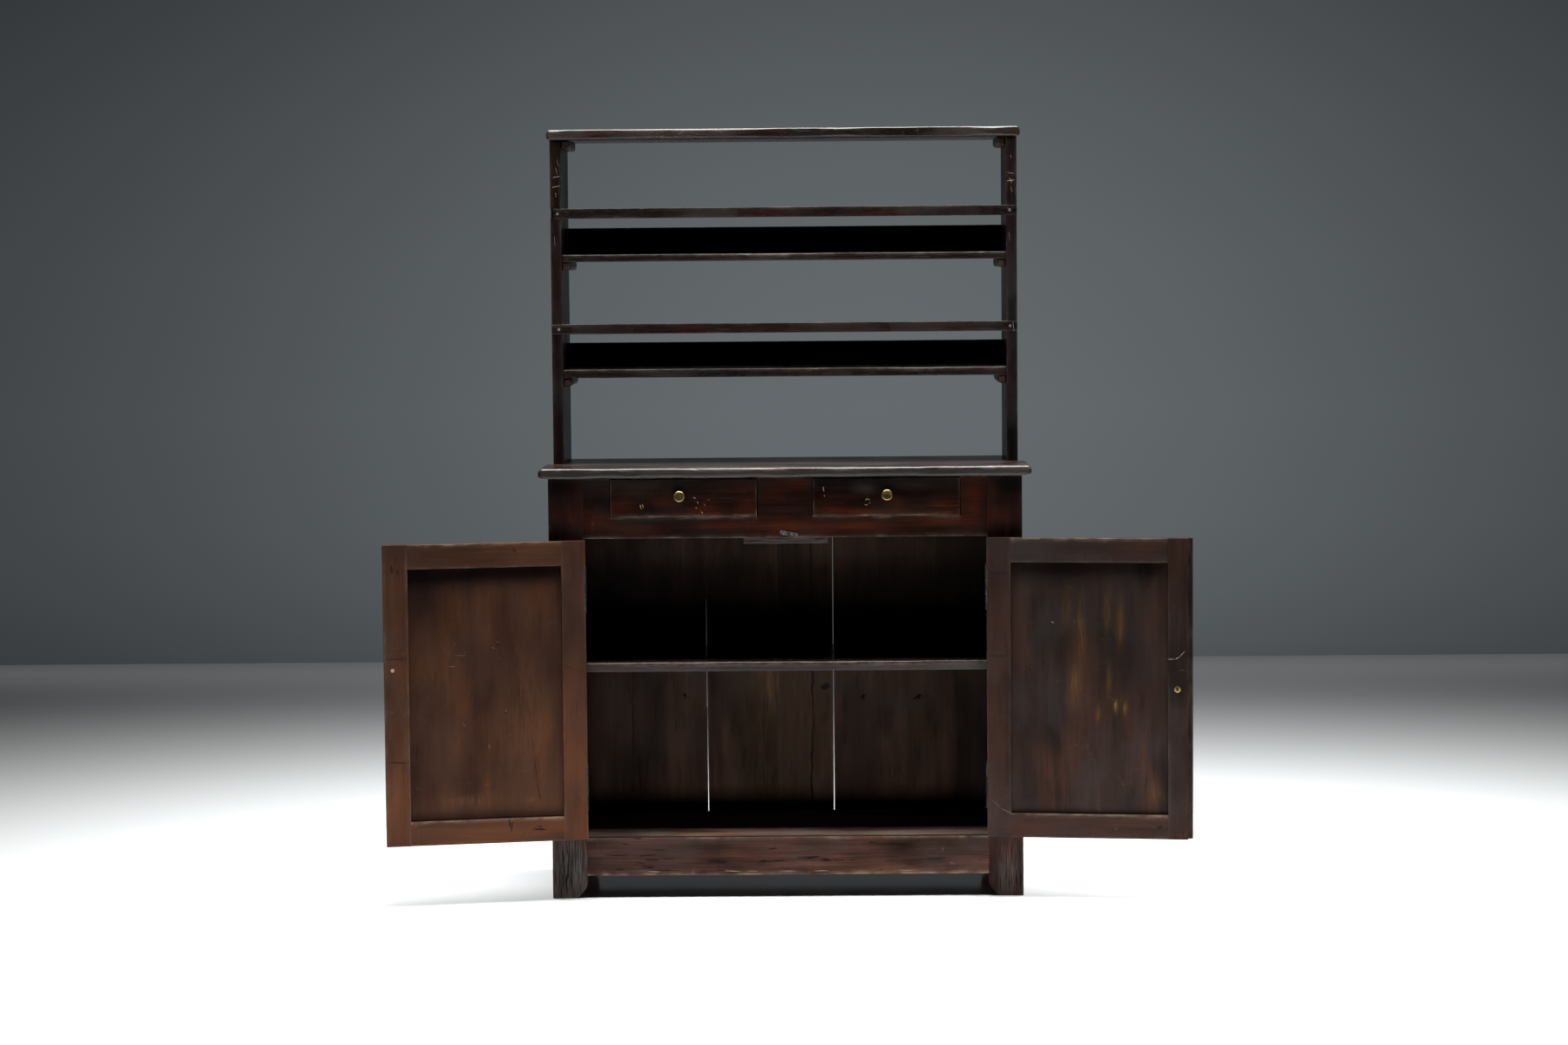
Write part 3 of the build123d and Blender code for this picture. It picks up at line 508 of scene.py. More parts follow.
def rounded_ring(outline, radii, cuts):
    """Ring through an outline with rounded corners, at every station.

    Each corner is a parabola through the two points a radius away from it along its sides, and each side
    between two corners is cut evenly.
    """
    def toward(other):
        gap = other - outline
        return gap / np.maximum(np.linalg.norm(gap, axis=-1, keepdims=True), 1e-9)

    back, ahead = toward(np.roll(outline, 1, 1)), toward(np.roll(outline, -1, 1))
    into, out = outline + radii[..., None] * back, outline + radii[..., None] * ahead
    t = np.linspace(0, 1, ARC_POINTS)[None, :, None]
    parts = []
    for k in range(outline.shape[1]):
        a, c, b = into[:, k, None], outline[:, k, None], out[:, k, None]
        parts.append((1 - t) ** 2 * a + 2 * t * (1 - t) * c + t ** 2 * b)
        share = (np.arange(1, cuts[k] + 1) / (cuts[k] + 1))[None, :, None]
        parts.append(out[:, k, None] * (1 - share) + np.roll(into, -1, 1)[:, k, None] * share)
    return np.concatenate(parts, axis=1)


practice_stations, _ = along_board(0.0, 0.1, 6 * MM, [], 0.6 * MM)
print("stations on a board of 100 mm:", len(practice_stations))

# %% Soft marks
def ellipses(points, marks):
    """Strength of listed marks: each falls off as exp(-distance^2) from its middle, in its own sizes."""
    value = np.zeros(points.shape[:-1])
    for middle, size, strength in marks:
        gap = (points - np.array(middle) * MM) / (np.array(size) * MM)
        value += strength * np.exp(-np.sum(gap ** 2, axis=-1))
    return np.clip(value, -1, 1)


def spots(y, depth, rows):
    """Marks in mm on a face square to y, each a row of x, z, half width, half height and strength."""
    return [((x, y, z), (wide, depth, tall), strength) for x, z, wide, tall, strength in rows]


def in_space(stations, ring, axis):
    """Points from rings of two coordinates across the axis and their stations along it."""
    along = np.broadcast_to(stations[:, None], ring.shape[:2])
    return np.roll(np.dstack([along, ring]), axis, axis=-1)


practice_mark = ellipses(np.zeros((1, 3)), [((10, 0, 0), (10, 10, 10), 1.0)])
print("strength of a mark at its own size from its middle:", round(practice_mark[0], 2))

# %% Wear on a ring
# Widths in mm of the noise that swells an arris, sets and groups nicks, frays dents and breaks up the rub.
SWELL_CELL, NICK_CELL, NICK_GROUP, DENT_CELL, RUB_CELL = 70, 14, 90, 9, 45


def worn_radii(where, stations, radii, nicks, dents, seed):
    """Radius of every corner at every station: it swells and shrinks, and nicks and dents enlarge it.

    radius * (1 + 0.55 noise) + nicks * the peaks of a finer noise + depth * exp(-distance^2) for each dent.
    """
    chip = np.clip(noise(where, NICK_CELL, seed + 1) - 0.45, 0, 1)
    chip *= noise(where, NICK_GROUP, seed + 2) > 0
    swell = 1 + 0.55 * noise(where, SWELL_CELL, seed)
    radii = radii * swell + nicks * MM * chip * (radii > 0.5 * MM)
    for middle, corner, length, depth in dents:
        gap = (stations - middle * MM) / (length * MM / 2)
        ragged = 1 + 0.3 * noise(where[:, corner], DENT_CELL, seed)
        radii[:, corner] += depth * MM * np.exp(-gap ** 2) * ragged
    return radii


def drawn_ends(outline, drawn_in, drawn):
    """Outline with every side moved inwards by its own share of how far the station is drawn in."""
    sides = np.roll(outline, -1, 1) - outline
    lengths = np.maximum(np.linalg.norm(sides, axis=-1), 1e-9)
    inward = np.stack([-sides[..., 1], sides[..., 0]], -1) / lengths[..., None]
    weight = np.ones(outline.shape[1])
    weight[:len(drawn)] = drawn
    inward = inward * weight[None, :, None] * drawn_in[:, None, None]
    return outline + inward + np.roll(inward, 1, 1), lengths


def rubbed_arrises(points, ring, outline, radii, rub, seed):
    """How rubbed each point is: exp(-distance to its arris), more on a wide arris, broken up by noise."""
    distance = np.linalg.norm(ring[:, :, None] - outline[:, None], axis=-1)
    nearest, closest = distance.min(axis=2), distance.argmin(axis=2)
    rounding = np.take_along_axis(radii, closest, axis=1)
    wear = np.exp(-nearest / (rounding + 1.5 * MM)) * np.clip(0.35 + 0.3 * rounding / MM, 0, 1.3)
    uneven = 0.65 + 0.45 * noise(points, RUB_CELL, seed + 4)
    return wear * uneven * np.append(rub, np.ones(8))[closest]


print("an arris swells every", SWELL_CELL, "mm or so, and a nick is", NICK_CELL, "mm long")

# %% The board
# A hand plane leaves waves this long along the grain and this wide across it, and a rubbed end is this deep.
WAVE_ALONG, WAVE_ACROSS, END_RUB = 220, 60, 1.5 * MM


def worn_board(name, low, high, grain="x", arris=1.2, nicks=2.0, waves=0.35, end_round=0.6,
               drawn=(1, 1, 1, 1), spacing=6.0, outline=None, alter=None, breaks=(), carve=None, dents=(),
               marks=(), shades=(), rub=(1, 1, 1, 1), ends=0.0, place=None):
    """Board from low to high with its grain along an axis. Returns its mesh.

    outline replaces the rectangle across the grain. alter(stations, outline, radii) changes it on the way,
    breaks are where it changes at once, carve moves the finished points, dents are (place, corner, length,
    depth) on an arris, rub is how much paler each arris is, from wear and in places a painted highlight, and
    ends how much the two ends are, and place puts the board where it belongs.
    """
    seed = sum(map(ord, name))
    axis = "xyz".index(grain)
    across = [(axis + 1) % 3, (axis + 2) % 3]
    if outline is None:
        (a0, b0), (a1, b1) = low[across], high[across]
        outline = [(a0, b0), (a1, b0), (a1, b1), (a0, b1)]
    stations, drawn_in = along_board(low[axis], high[axis], spacing * MM, list(breaks), end_round * MM)
    outline = np.repeat(np.array(outline, float)[None], len(stations), axis=0)
    radii = np.ones(outline.shape[:2]) * np.array(arris) * MM
    if alter:
        alter(stations, outline, radii)
    radii = worn_radii(in_space(stations, outline, axis), stations, radii, nicks, dents, seed)
    outline, lengths = drawn_ends(outline, drawn_in, drawn)
    radii = np.minimum(radii, 0.48 * np.minimum(lengths, np.roll(lengths, 1, 1)).min(axis=0))
    radii = np.minimum(radii, np.maximum(0.45 * lengths.min(axis=1) - drawn_in, 0.05 * MM)[:, None])
    cuts = np.maximum(1, np.round(lengths.max(axis=0) / (spacing * MM))).astype(int)
    ring = rounded_ring(outline, radii, cuts)
    points = in_space(stations, ring, axis)
    tangent = np.roll(ring, -1, 1) - np.roll(ring, 1, 1)
    tangent = tangent / np.maximum(np.linalg.norm(tangent, axis=-1, keepdims=True), 1e-9)
    wave_cell = [WAVE_ALONG if k == axis else WAVE_ACROSS for k in range(3)]
    depth = waves * MM * (0.5 + 0.5 * noise(points, wave_cell, seed + 3))
    points[..., across[0]] -= depth * tangent[..., 1]
    points[..., across[1]] += depth * tangent[..., 0]
    wear = rubbed_arrises(points, ring, outline, radii, rub, seed)
    from_end = np.minimum(stations - stations[0], stations[-1] - stations)[:, None]
    wear += ends * np.exp(-from_end / END_RUB) * (0.6 + 0.6 * noise(points, 25, seed + 5))
    shift = np.array([seed * 0.137 % 3, seed * 0.311 % 2, seed * 0.713 % 2])
    lengthwise = np.roll(points, -axis, axis=-1) + shift
    facts = {"grain": lengthwise[None], "wear": np.clip(wear, 0, 1)[None],
             "mark": ellipses(points, marks)[None], "shade": ellipses(points, shades)[None]}
    if carve:
        points = carve(points)
    if place:
        points = place(points)
    return tube_mesh(name, points[None], facts)


def dress(name, corners, material, slot, node_name, body="carcase", **look):
    """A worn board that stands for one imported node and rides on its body."""
    show(name, worn_board(name, *corners, **look), material, body, slot, node_name)


print("plane marks:", WAVE_ALONG, "mm along the grain,", WAVE_ACROSS, "mm across")

# %% [markdown]
# ## The rack's and the cupboard's upright boards
#
# Each side is a wide rear plank that runs from the floor to the rack's top board, with a narrower board
# before it up to the worktop. The plank is notched for both plate rails, and its foot is cut out in front.
# A notch is a sudden step of the board's front edge, so the board gets two stations almost on top of each
# other there.

# %% Uprights and side boards
rear_foot_depth, foot_cut, foot_cut_rise = 84 * MM, 22 * MM, 30 * MM
under_carcase = box("left_side_board")[0][2]


def foot_bite(height):
    """How far a foot is cut back at a height: most on the floor, easing to nothing in a shallow curve."""
    return foot_cut * np.clip(1 - height / foot_cut_rise, 0, 1) ** 1.25


for side in ("left", "right"):
    low, high = box(side + "_upright")
    rails = [box("upper_plate_rail"), box("lower_plate_rail")]

    def upright_edge(stations, outline, radii, low=low, high=high, rails=rails):
        """Front edge drawn back in the rail notches and below the carcase, where only the foot is left."""
        for rail_low, rail_high in rails:
            inside = (stations > rail_low[2]) & (stations < rail_high[2])
            outline[inside, :2, 1] = rail_high[1]
        foot = stations < under_carcase
        outline[foot, :2, 1] = (high[1] - rear_foot_depth + foot_bite(stations))[foot, None]

    steps = [edge[2] for rail in rails for edge in rail] + [under_carcase]
    dress(side + "_upright_plank", (low, high), upright_wood, "dark_wood", side + "_upright", grain="z",
          arris=1.6, nicks=3.5, breaks=steps, alter=upright_edge, spacing=7, rub=(0.7, 0.7, 1, 1))
    dress(side + "_side_plank", box(side + "_side_board"), upright_wood, "dark_wood", side + "_side_board",
          grain="z", arris=0.8, spacing=7)
print("uprights and side boards: 4")

# %% [markdown]
# ## Front posts
#
# The posts run down into the front feet, whose inner corners are cut away in a curve. The hinge leaves lie
# in shallow beds in the posts' inner edges. Where a rail meets a post the arris stays sharp, and where the
# doors and hands pass it is rubbed.

# %% Front posts
hinge_height, hinge_inset, hinge_bed = 108 * MM, 64 * MM, 2.2 * MM
door_low, door_high = (corner[2] for corner in box("left_door_hinge_stile"))
hinge_spans = [(door_low + hinge_inset, door_low + hinge_inset + hinge_height),
               (door_high - hinge_inset - hinge_height, door_high - hinge_inset)]
hinge_steps = [edge for pair in hinge_spans for edge in pair]
front_y, sharp_arris = -221, 0.3 * MM
apron_low, rail_high = box("apron_board")[0][2], box("bottom_rail")[1][2]


def in_hinge(stations):
    """True at the heights where a hinge leaf lies."""
    return np.any([(stations > low) & (stations < high) for low, high in hinge_spans], axis=0)


post_marks = {
    "left": [(-540, 905, 10, 14, -0.5), (-500, 903, 20, 20, -0.4), (-490, 950, 12, 10, -0.2)],
    "right": [(488, 960, 12, 22, -0.6), (503, 902, 26, 20, -0.7)],
}
foot_haze = {"left": [(-512, 50, 60, 90, 0.42)], "right": [(524, 50, 30, 70, 0.3)]}
for side, inner, outer_sign in (("left", [1, 2], -1), ("right", [0, 3], 1)):

    def post_edge(stations, outline, radii, inner=inner, outward=outer_sign):
        """Inner edge cut back at the foot and in the hinge beds, sharp where the rails meet it."""
        outline[:, inner, 0] += outward * foot_bite(stations)[:, None]
        outline[:, inner, 0] += outward * hinge_bed * in_hinge(stations)[:, None]
        joined = (stations > apron_low) | ((stations < rail_high) & (stations > under_carcase))
        radii[joined, inner[0]] = sharp_arris

    # post_shades is painted shade: the posts darker at the top under the worktop and towards the feet, with
    # some real dirt.
    post_shades = [(outer_sign * 528, 975, 60, 26, 0.7), (-530, 40, 70, 110, 0.5),
                   (outer_sign * 512, 920, 60, 60, 0.45), (540, 30, 24, 70, 0.4)]
    dress(side + "_post", box(side + "_front_post"), post_wood, "front_wood", side + "_front_post", grain="z",
          arris=1.5, nicks=2.5, breaks=hinge_steps, rub=[corner not in inner for corner in range(4)],
          alter=post_edge, spacing=5, shades=spots(front_y, 90, post_shades),
          marks=spots(front_y, 10, post_marks[side]) + spots(front_y, 30, foot_haze[side]))
print("front posts: 2")

# %% [markdown]
# ## Apron and bottom rail
#
# The apron is one board with two gaps sawn out of its top edge for the drawers. The bottom rail is the most
# kicked piece of the cupboard, so it has the most nicks and checks.

# %% Apron and rail
half_muntin, drawer_edge, drawer_play = 64 * MM, 411 * MM, 0.3 * MM
drawer_floor = box("left_drawer_front")[0][2] - drawer_play
apron_box, rail_box = [box(node_name) for node_name in ("apron_board", "bottom_rail")]
post_inner = box("left_front_post")[1][0]


def between_posts(corners):
    """The same board without its tenons: x from post to post."""
    low, high = corners[0].copy(), corners[1].copy()
    low[0], high[0] = post_inner, -post_inner
    return low, high


def drawer_gaps(stations, outline, radii):
    """Top edge dropped to the drawers' floor between each pair of gap ends."""
    gap = (np.abs(stations) > half_muntin) & (np.abs(stations) < drawer_edge)
    outline[gap, 2:, 1] = drawer_floor
    radii[~gap, 2:] = sharp_arris


apron_marks = [(-440, 892, 34, 15, -0.5), (-350, 868, 55, 9, -0.35), (32, 976, 30, 9, -0.5),
               (-20, 958, 34, 16, -0.4), (0, 880, 40, 14, -0.6), (370, 888, 90, 14, -0.5),
               (440, 940, 22, 44, -0.55), (150, 876, 80, 14, -0.6), (-130, 880, 90, 12, -0.45),
               (100, 878, 60, 10, 0.08)]
# apron_shades: painted shade along the apron's top under the worktop's nose, and two darker spots.
apron_shades = [(0, 998, 600, 12, 0.6), (90, 950, 24, 30, 0.35), (-442, 948, 26, 26, 0.55)]
dress("apron", between_posts(apron_box), front_wood, "front_wood", "apron_board", arris=1.4, nicks=1.5,
      end_round=0.3, alter=drawer_gaps, breaks=[-drawer_edge, -half_muntin, half_muntin, drawer_edge],
      spacing=5, marks=spots(front_y, 10, apron_marks), shades=spots(front_y, 10, apron_shades))
# The extra rub on the kick rail's lower front arris is partly real wear and partly a painted highlight.
dress("kick_rail", between_posts(rail_box), sill_wood, "front_wood", "bottom_rail",
      arris=(2.2, 0.8, 0.6, 1.4), nicks=5, end_round=0.3, spacing=4, rub=(1.6, 1, 1, 1.2))
print("apron and bottom rail: 2")

# %% [markdown]
# ## Worktop and top board
#
# Both are round-nosed at the front and at both ends. Two centuries of hands and plates have left dips in
# the worktop's nosing, and each is a wide, shallow dent in one arris.

# %% Boards with a rounded nose
nose_sides = (1, 0, 1, 1)
# The shade spot on the worktop's nosing is painted shade on its lower half, which also dulls it.
dress("worktop", box("worktop_front_board"), top_wood, "dark_wood", "worktop_front_board",
      arris=(10, 0.5, 0.5, 10), nicks=2, waves=0.12, end_round=10, drawn=nose_sides, spacing=5,
      rub=(0, 0, 0.2, 0.35), shades=[((0, -249, 1002.5), (900, 30, 6.5), 0.9)],
      dents=[(-40, 3, 46, 3.5), (126, 3, 16, 2.5), (313, 3, 24, 2.5), (-330, 0, 20, 3)])
dress("worktop_back", box("worktop_rear_board"), rack_wood, "dark_wood", "worktop_rear_board", arris=0.8,
      end_round=0.3, waves=0.6)
# The top board's shade spot is painted shade on its underside, which also dulls it.
dress("top_board", box("rack_top_board"), crown_wood, "dark_wood", "rack_top_board",
      arris=(8, 0.8, 0.8, 5.5), nicks=3, waves=0.2, end_round=9, drawn=nose_sides, spacing=5,
      rub=(0, 0, 0.2, 0.35), shades=[((0, 80, 1785), (900, 600, 7), 1.0)],
      dents=[(-545, 3, 40, 4), (500, 3, 60, 2), (-300, 0, 30, 3)])
print("nosed boards: 3")

# %% [markdown]
# ## Shelves and rails of the rack
#
# The shelves' front arris is rounded over. The plate rails are thin laths let into the uprights, and the
# boards behind the shelves stop the plates.

# %% Rack boards
# Painted shade on the underside of the upper shelf, which also dulls it.
under_shelf_painted_shade = [((0, 100, box("upper_rack_shelf")[0][2] / MM - 1), (900, 300, 4), 0.6)]
# The extra rub on the top front arris of shelves and plate rails is partly real wear and partly a painted
# highlight.
shelf_look = dict(arris=(1.2, 0.5, 0.5, 2.2), nicks=2, waves=0.15, rub=(0.6, 1, 1, 1.6))
back_rail_look = dict(arris=1.2, nicks=2)
plate_rail_look = dict(arris=(1.2, 1, 1, 1.4), nicks=2.5, waves=0.2, spacing=4, end_round=1.5,
                       rub=(0.7, 1, 1, 1.2))
rack_boards = {
    "upper_rack_shelf": dict(shelf_look, shades=under_shelf_painted_shade, dents=[(-40, 3, 150, 3), (60, 3, 30, 2)]),
    "lower_rack_shelf": dict(shelf_look, dents=[(330, 3, 120, 3)]),
    "upper_rack_back_rail": back_rail_look, "lower_rack_back_rail": back_rail_look,
    "upper_plate_rail": plate_rail_look, "lower_plate_rail": plate_rail_look,
}
for node_name, look in rack_boards.items():
    wood = inside_wood if "back" in node_name else rack_wood
    dress(node_name + "_board", box(node_name), wood, "dark_wood", node_name, **look)
print("rack boards:", len(rack_boards))

# %% [markdown]
# Under each shelf's end and under the top board's ends sits a cleat, nailed to the upright. Its lower inner
# edge is rounded over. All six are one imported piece, so they are told apart by height and side.

# %% Cleats
cleat_points, cleat_reach = points_of("rack_cleats"), 40 * MM
for board in ("rack_top_board", "upper_rack_shelf", "lower_rack_shelf"):
    near_board = np.abs(cleat_points[:, 2] - box(board)[0][2]) < cleat_reach
    for side, sign, arrises in (("left", -1, (1, 0.5, 2, 12)), ("right", 1, (12, 2, 0.5, 1))):
        mine = cleat_points[near_board & (cleat_points[:, 0] * sign > 0)]
        corners = mine.min(axis=0), mine.max(axis=0)
        dress(f"{side}_cleat_under_{board}", corners, post_wood, "dark_wood", "rack_cleats", grain="y",
              arris=arrises, nicks=2, end_round=5, waves=0.2, marks=[(corners[0] / MM, (60, 30, 60), 0.12)])
print("cleats: 6")

# %% [markdown]
# ## Inside the cupboard
#
# Rough boards, nearly black. The back is four nailed boards with open joints between them, where daylight
# shows through; one joint closes towards the top.

# %% Back boards
joint_shut, joint_open, joint_lean = 720 * MM, 3 * MM, 2.6 * MM
rear_foot_edge = -box("left_front_post")[1][0]
back_y = 207


def leaning_edge(stations, outline, radii):
    """Left edge that leans with height towards its neighbour, until the joint is nearly shut."""
    lean = np.interp(stations, [under_carcase, joint_shut], [0, joint_lean])
    outline[:, [0, 3], 0] += (joint_open - lean)[:, None]


def rear_foot(inner, outward):
    """Shape of an outer board: below the carcase only the foot is left, bitten out like the front foot."""
    def shape(stations, outline, radii):
        """Inner edge moved out to the foot's."""
        foot = stations < under_carcase
        edge = outward * (rear_foot_edge + foot_bite(stations[foot]))
        outline[np.ix_(foot, inner, [0])] = edge[:, None, None]

    return shape


# In back_marks the narrow pale stripes are stains; the broad faint patches are painted light on boards 2 to
# 4.
back_marks = {2: [(-45, 470, 5, 70, 0.3), (-40, 860, 8, 40, 0.25), (-60, 420, 90, 500, 0.07)],
              3: [(40, 420, 90, 500, 0.06)], 4: [(300, 700, 200, 300, 0.04)]}
back_shapes = {1: (rear_foot([1, 2], -1), [under_carcase]), 2: (leaning_edge, []), 3: (None, []),
               4: (rear_foot([0, 3], 1), [under_carcase])}
for number, (edge_shape, steps) in back_shapes.items():
    node_name = f"back_board_{number}"
    low, high = box(node_name)
    if number == 2:
        low[0] = box("back_board_1")[1][0]
    dress(node_name + "_plank", (low, high), inside_wood, "inside_wood", node_name, grain="z", arris=0.25,
          nicks=0.4, spacing=8, waves=0.12, alter=edge_shape, breaks=steps,
          marks=spots(back_y, 30, back_marks.get(number, [])))
dust = speckled("fluff and dirt packed in joints", "#050404", "#1a1411", 600.0, 3.0, 0.9, 0.05)
dust_behind_front, dust_before_back = 3 * MM, 4 * MM
dust_strips = {"upper_left": (1, -0.7, 3.5, 668, 860), "lower_left": (1, -0.7, 1.1, 70, 400),
               "middle": (2, -0.8, 0.8, 70, 860), "right": (3, -0.7, 1.7, 70, 860)}
for place_name, (number, near, far, dust_low, dust_high) in dust_strips.items():
    (_, board_front, _), (edge, board_back, _) = box(f"back_board_{number}")
    low = np.array([edge + near * MM, board_front + dust_behind_front, dust_low * MM])
    high = np.array([edge + far * MM, board_back - dust_before_back, dust_high * MM])
    mesh = worn_board(place_name + "_joint_dust", low, high, "z", arris=0.3, nicks=0.3, waves=0.2)
    show(place_name + "_joint_dust", mesh, dust, "carcase", "inside_wood")
print("back boards: 4, strips of dust:", len(dust_strips))

# %% [markdown]
# The floor board reaches forward between the posts, flush with the bottom rail. It is one board with a
# tongue, so its front edge steps back at each post.

# %% Shelf, stop and floor
post_back = box("left_front_post")[1][1]


def floor_tongue(stations, outline, radii):
    """Front edge drawn back behind the posts at both ends."""
    behind_posts = np.abs(stations) > -post_inner
    outline[np.ix_(behind_posts, [0, 3], [0])] = post_back


shelf_low = box("inner_shelf")[0] / MM
# The shelf's shade spot is painted shade on the lower half of its front edge.
dress("shelf_plank", box("inner_shelf"), top_wood, "inside_wood", "inner_shelf", arris=(1, 0.5, 0.5, 6),
      nicks=2, waves=0.15, rub=(0.3, 1, 1, 0.6),
      shades=[((0, shelf_low[1], shelf_low[2] + 4), (900, 20, 8), 0.5)])
dress("stop_block", box("door_stop"), post_wood, "inside_wood", "door_stop", arris=1.5, nicks=2, spacing=3,
      marks=[(box("door_stop")[0] / MM, (900, 90, 90), 0.3)])
dress("bottom_plank", box("cupboard_floor"), dusty_wood, "inside_wood", "cupboard_floor", arris=0.8, nicks=2,
      waves=0.6, alter=floor_tongue, breaks=[post_inner, -post_inner])
print("inside boards: 3")

# %% [markdown]
# ## Doors
#
# Each door is two stiles with two rails tenoned between them and a panel in their grooves. The panel's
# inner face is planed down towards its edges, by hand, so the bevel's line wavers. The right door laps over
# the left one: its meeting stile has a lip in front, and the left one has a rebate for it.

# %% Marks on the doors
lip_width, lip_thickness, lip_gap, meeting_gap = 10 * MM, 8 * MM, 1 * MM, 1.5 * MM
bevel_width, bevel_depth = 30 * MM, 3 * MM
panel_y, frame_y = -205, -200
door_woods = {"left": left_wood, "right": right_wood}
panel_marks = {
    "left": [(-180, 246, 34, 9, 0.16), (-336, 243, 14, 7, 0.2), (-330, 420, 50, 150, 0.15),
             (-210, 246, 80, 14, 0.12)],
    "right": [(285, 690, 12, 50, 0.3), (252, 640, 10, 70, 0.35), (268, 505, 14, 45, 0.3),
              (190, 680, 9, 50, 0.3), (160, 645, 9, 50, 0.45), (188, 520, 5, 34, 0.45),
              (172, 455, 4, 14, 1.0), (149, 450, 4, 14, 0.7), (213, 435, 5, 18, 0.35),
              (78, 255, 13, 26, 0.25)],
}
# panel_shades is painted shade: the shadow of each door's top rail on its panel, darker along the bottom rail
# and towards the top of the right door, with some darker patches and tone of the wood.
panel_shades = {
    "left": [(-240, 782, 900, 30, 0.68), (-90, 715, 90, 90, 0.3), (-240, 206, 900, 14, 0.3),
             (-240, 500, 900, 900, 0.3)],
    "right": [(240, 790, 900, 40, 0.6), (240, 205, 900, 8, 0.5), (290, 700, 120, 130, 0.3),
              (130, 560, 60, 120, 0.35), (240, 480, 900, 200, 0.18), (100, 760, 30, 90, 0.3)],
}
# frame_shades is painted shade: the door frames darker towards their tops, where the floor throws back less
# light.
frame_shades = {
    "left": [(-60, 830, 60, 24, 0.3)],
    "right": [(0, 730, 60, 110, 0.55), (470, 740, 60, 90, 0.5), (0, 300, 12, 300, 0.3)],
}
frame_marks = {
    "left": [(-30, 560, 30, 30, -0.4), (-440, 520, 30, 60, -0.4), (-440, 330, 30, 60, -0.5),
             (-250, 175, 200, 20, -0.4), (-30, 250, 30, 70, -0.4), (-30, 720, 24, 70, -0.3)],
    "right": [(440, 700, 24, 70, -0.25), (30, 740, 20, 40, -0.3), (445, 420, 24, 140, -0.35),
              (400, 175, 40, 16, -0.3), (110, 822, 50, 20, -0.25)],
}
print("marks on the panels:", sum(map(len, panel_marks.values())))


# %% Door boards
def door_boards(side):
    """A shut door's two stiles, where its rails begin and end, and the outline of its meeting stile."""
    hinge, meeting = shut_box(side, "hinge_stile"), shut_box(side, "meeting_stile")
    inner = (hinge[1][0], meeting[0][0]) if side == "left" else (meeting[1][0], hinge[0][0])
    (x0, y0), (x1, y1) = meeting[0][:2], meeting[1][:2]
    if side == "right":
        step = x0 + lip_width
        shape = [(x0, y0), (x1, y0), (x1, y1), (step, y1), (step, y0 + lip_thickness),
                 (x0, y0 + lip_thickness)]
    else:
        cut = x1 - (lip_width - meeting_gap + lip_gap)
        deep = y0 + lip_thickness + lip_gap
        shape = [(x0, y0), (cut, y0), (cut, deep), (x1, deep), (x1, y1), (x0, y1)]
    return hinge, meeting, inner, shape


for side in ("left", "right"):
    wood, name = door_woods[side], side + "_door_"
    hinge, meeting, inner, meeting_shape = door_boards(side)
    edge = [0, 3] if side == "left" else [1, 2]
    sign = 1 if side == "left" else -1

    def hinge_edge(stations, outline, radii, edge=edge, sign=sign):
        """Edge of the hinge stile cut back where the leaves lie."""
        outline[:, edge, 0] += sign * hinge_bed * in_hinge(stations)[:, None]

    common = dict(body=side + "_door", place=open_door(side), spacing=5)
    frame_look = dict(common, marks=spots(frame_y, 30, frame_marks[side]))
    stile_look = dict(frame_look, grain="z", arris=1.0, nicks=2, rub=(0.4,) * 4,
                      shades=spots(frame_y, 30, frame_shades[side]))
    dress(name + "hanging_stile", hinge, wood, "door_wood", name + "hinge_stile", breaks=hinge_steps,
          alter=hinge_edge, **stile_look)
    dress(name + "closing_stile", meeting, wood, "door_wood", name + "meeting_stile",
          outline=meeting_shape, **stile_look)
    for rail in ("top_rail", "bottom_rail"):
        low, high = shut_box(side, rail)
        low[0], high[0] = inner
        # The heavy rub on the rails' top arrises is partly real wear and partly a painted highlight.
        dress(name + rail + "_board", (low, high), wood, "door_wood", name + rail, arris=1.2, nicks=2.5,
              end_round=0.3, rub=(0.8, 0.8, 4, 3), **frame_look)
    panel_low, panel_high = shut_box(side, "panel")
    clear = (inner[0], shut_box(side, "bottom_rail")[1][2], inner[1], shut_box(side, "top_rail")[0][2])

    def plane_down(points, low=panel_low, high=panel_high, clear=clear, side=side):
        """Inner face lowered towards the frame: the full bevel at the frame, none a bevel's width away."""
        gap = np.minimum.reduce([points[..., 0] - clear[0], points[..., 2] - clear[1],
                                 clear[2] - points[..., 0], clear[3] - points[..., 2]])
        width = bevel_width * (1 + 0.3 * noise(points, (140, 140, 90), len(side)))
        share = np.clip(1 - gap / width, 0, 1)
        points = points.copy()
        back = points[..., 1] > (low[1] + high[1]) / 2
        points[..., 1] -= back * bevel_depth * share * share * (3 - 2 * share)
        return points

    dress(name + "panel_board", (panel_low, panel_high), wood, "door_wood", name + "panel", grain="z",
          arris=0.5, nicks=0, waves=0.8, carve=plane_down, marks=spots(panel_y, 30, panel_marks[side]),
          shades=spots(panel_y, 30, panel_shades[side]), **common)
print("door boards: 10")

# %% [markdown]
# ## Drawers
#
# Only the fronts are polished. Their ends are drawn in by a hair, so that the dovetails of the drawer's
# sides, which the imported pieces already have, show in them when a drawer is open.

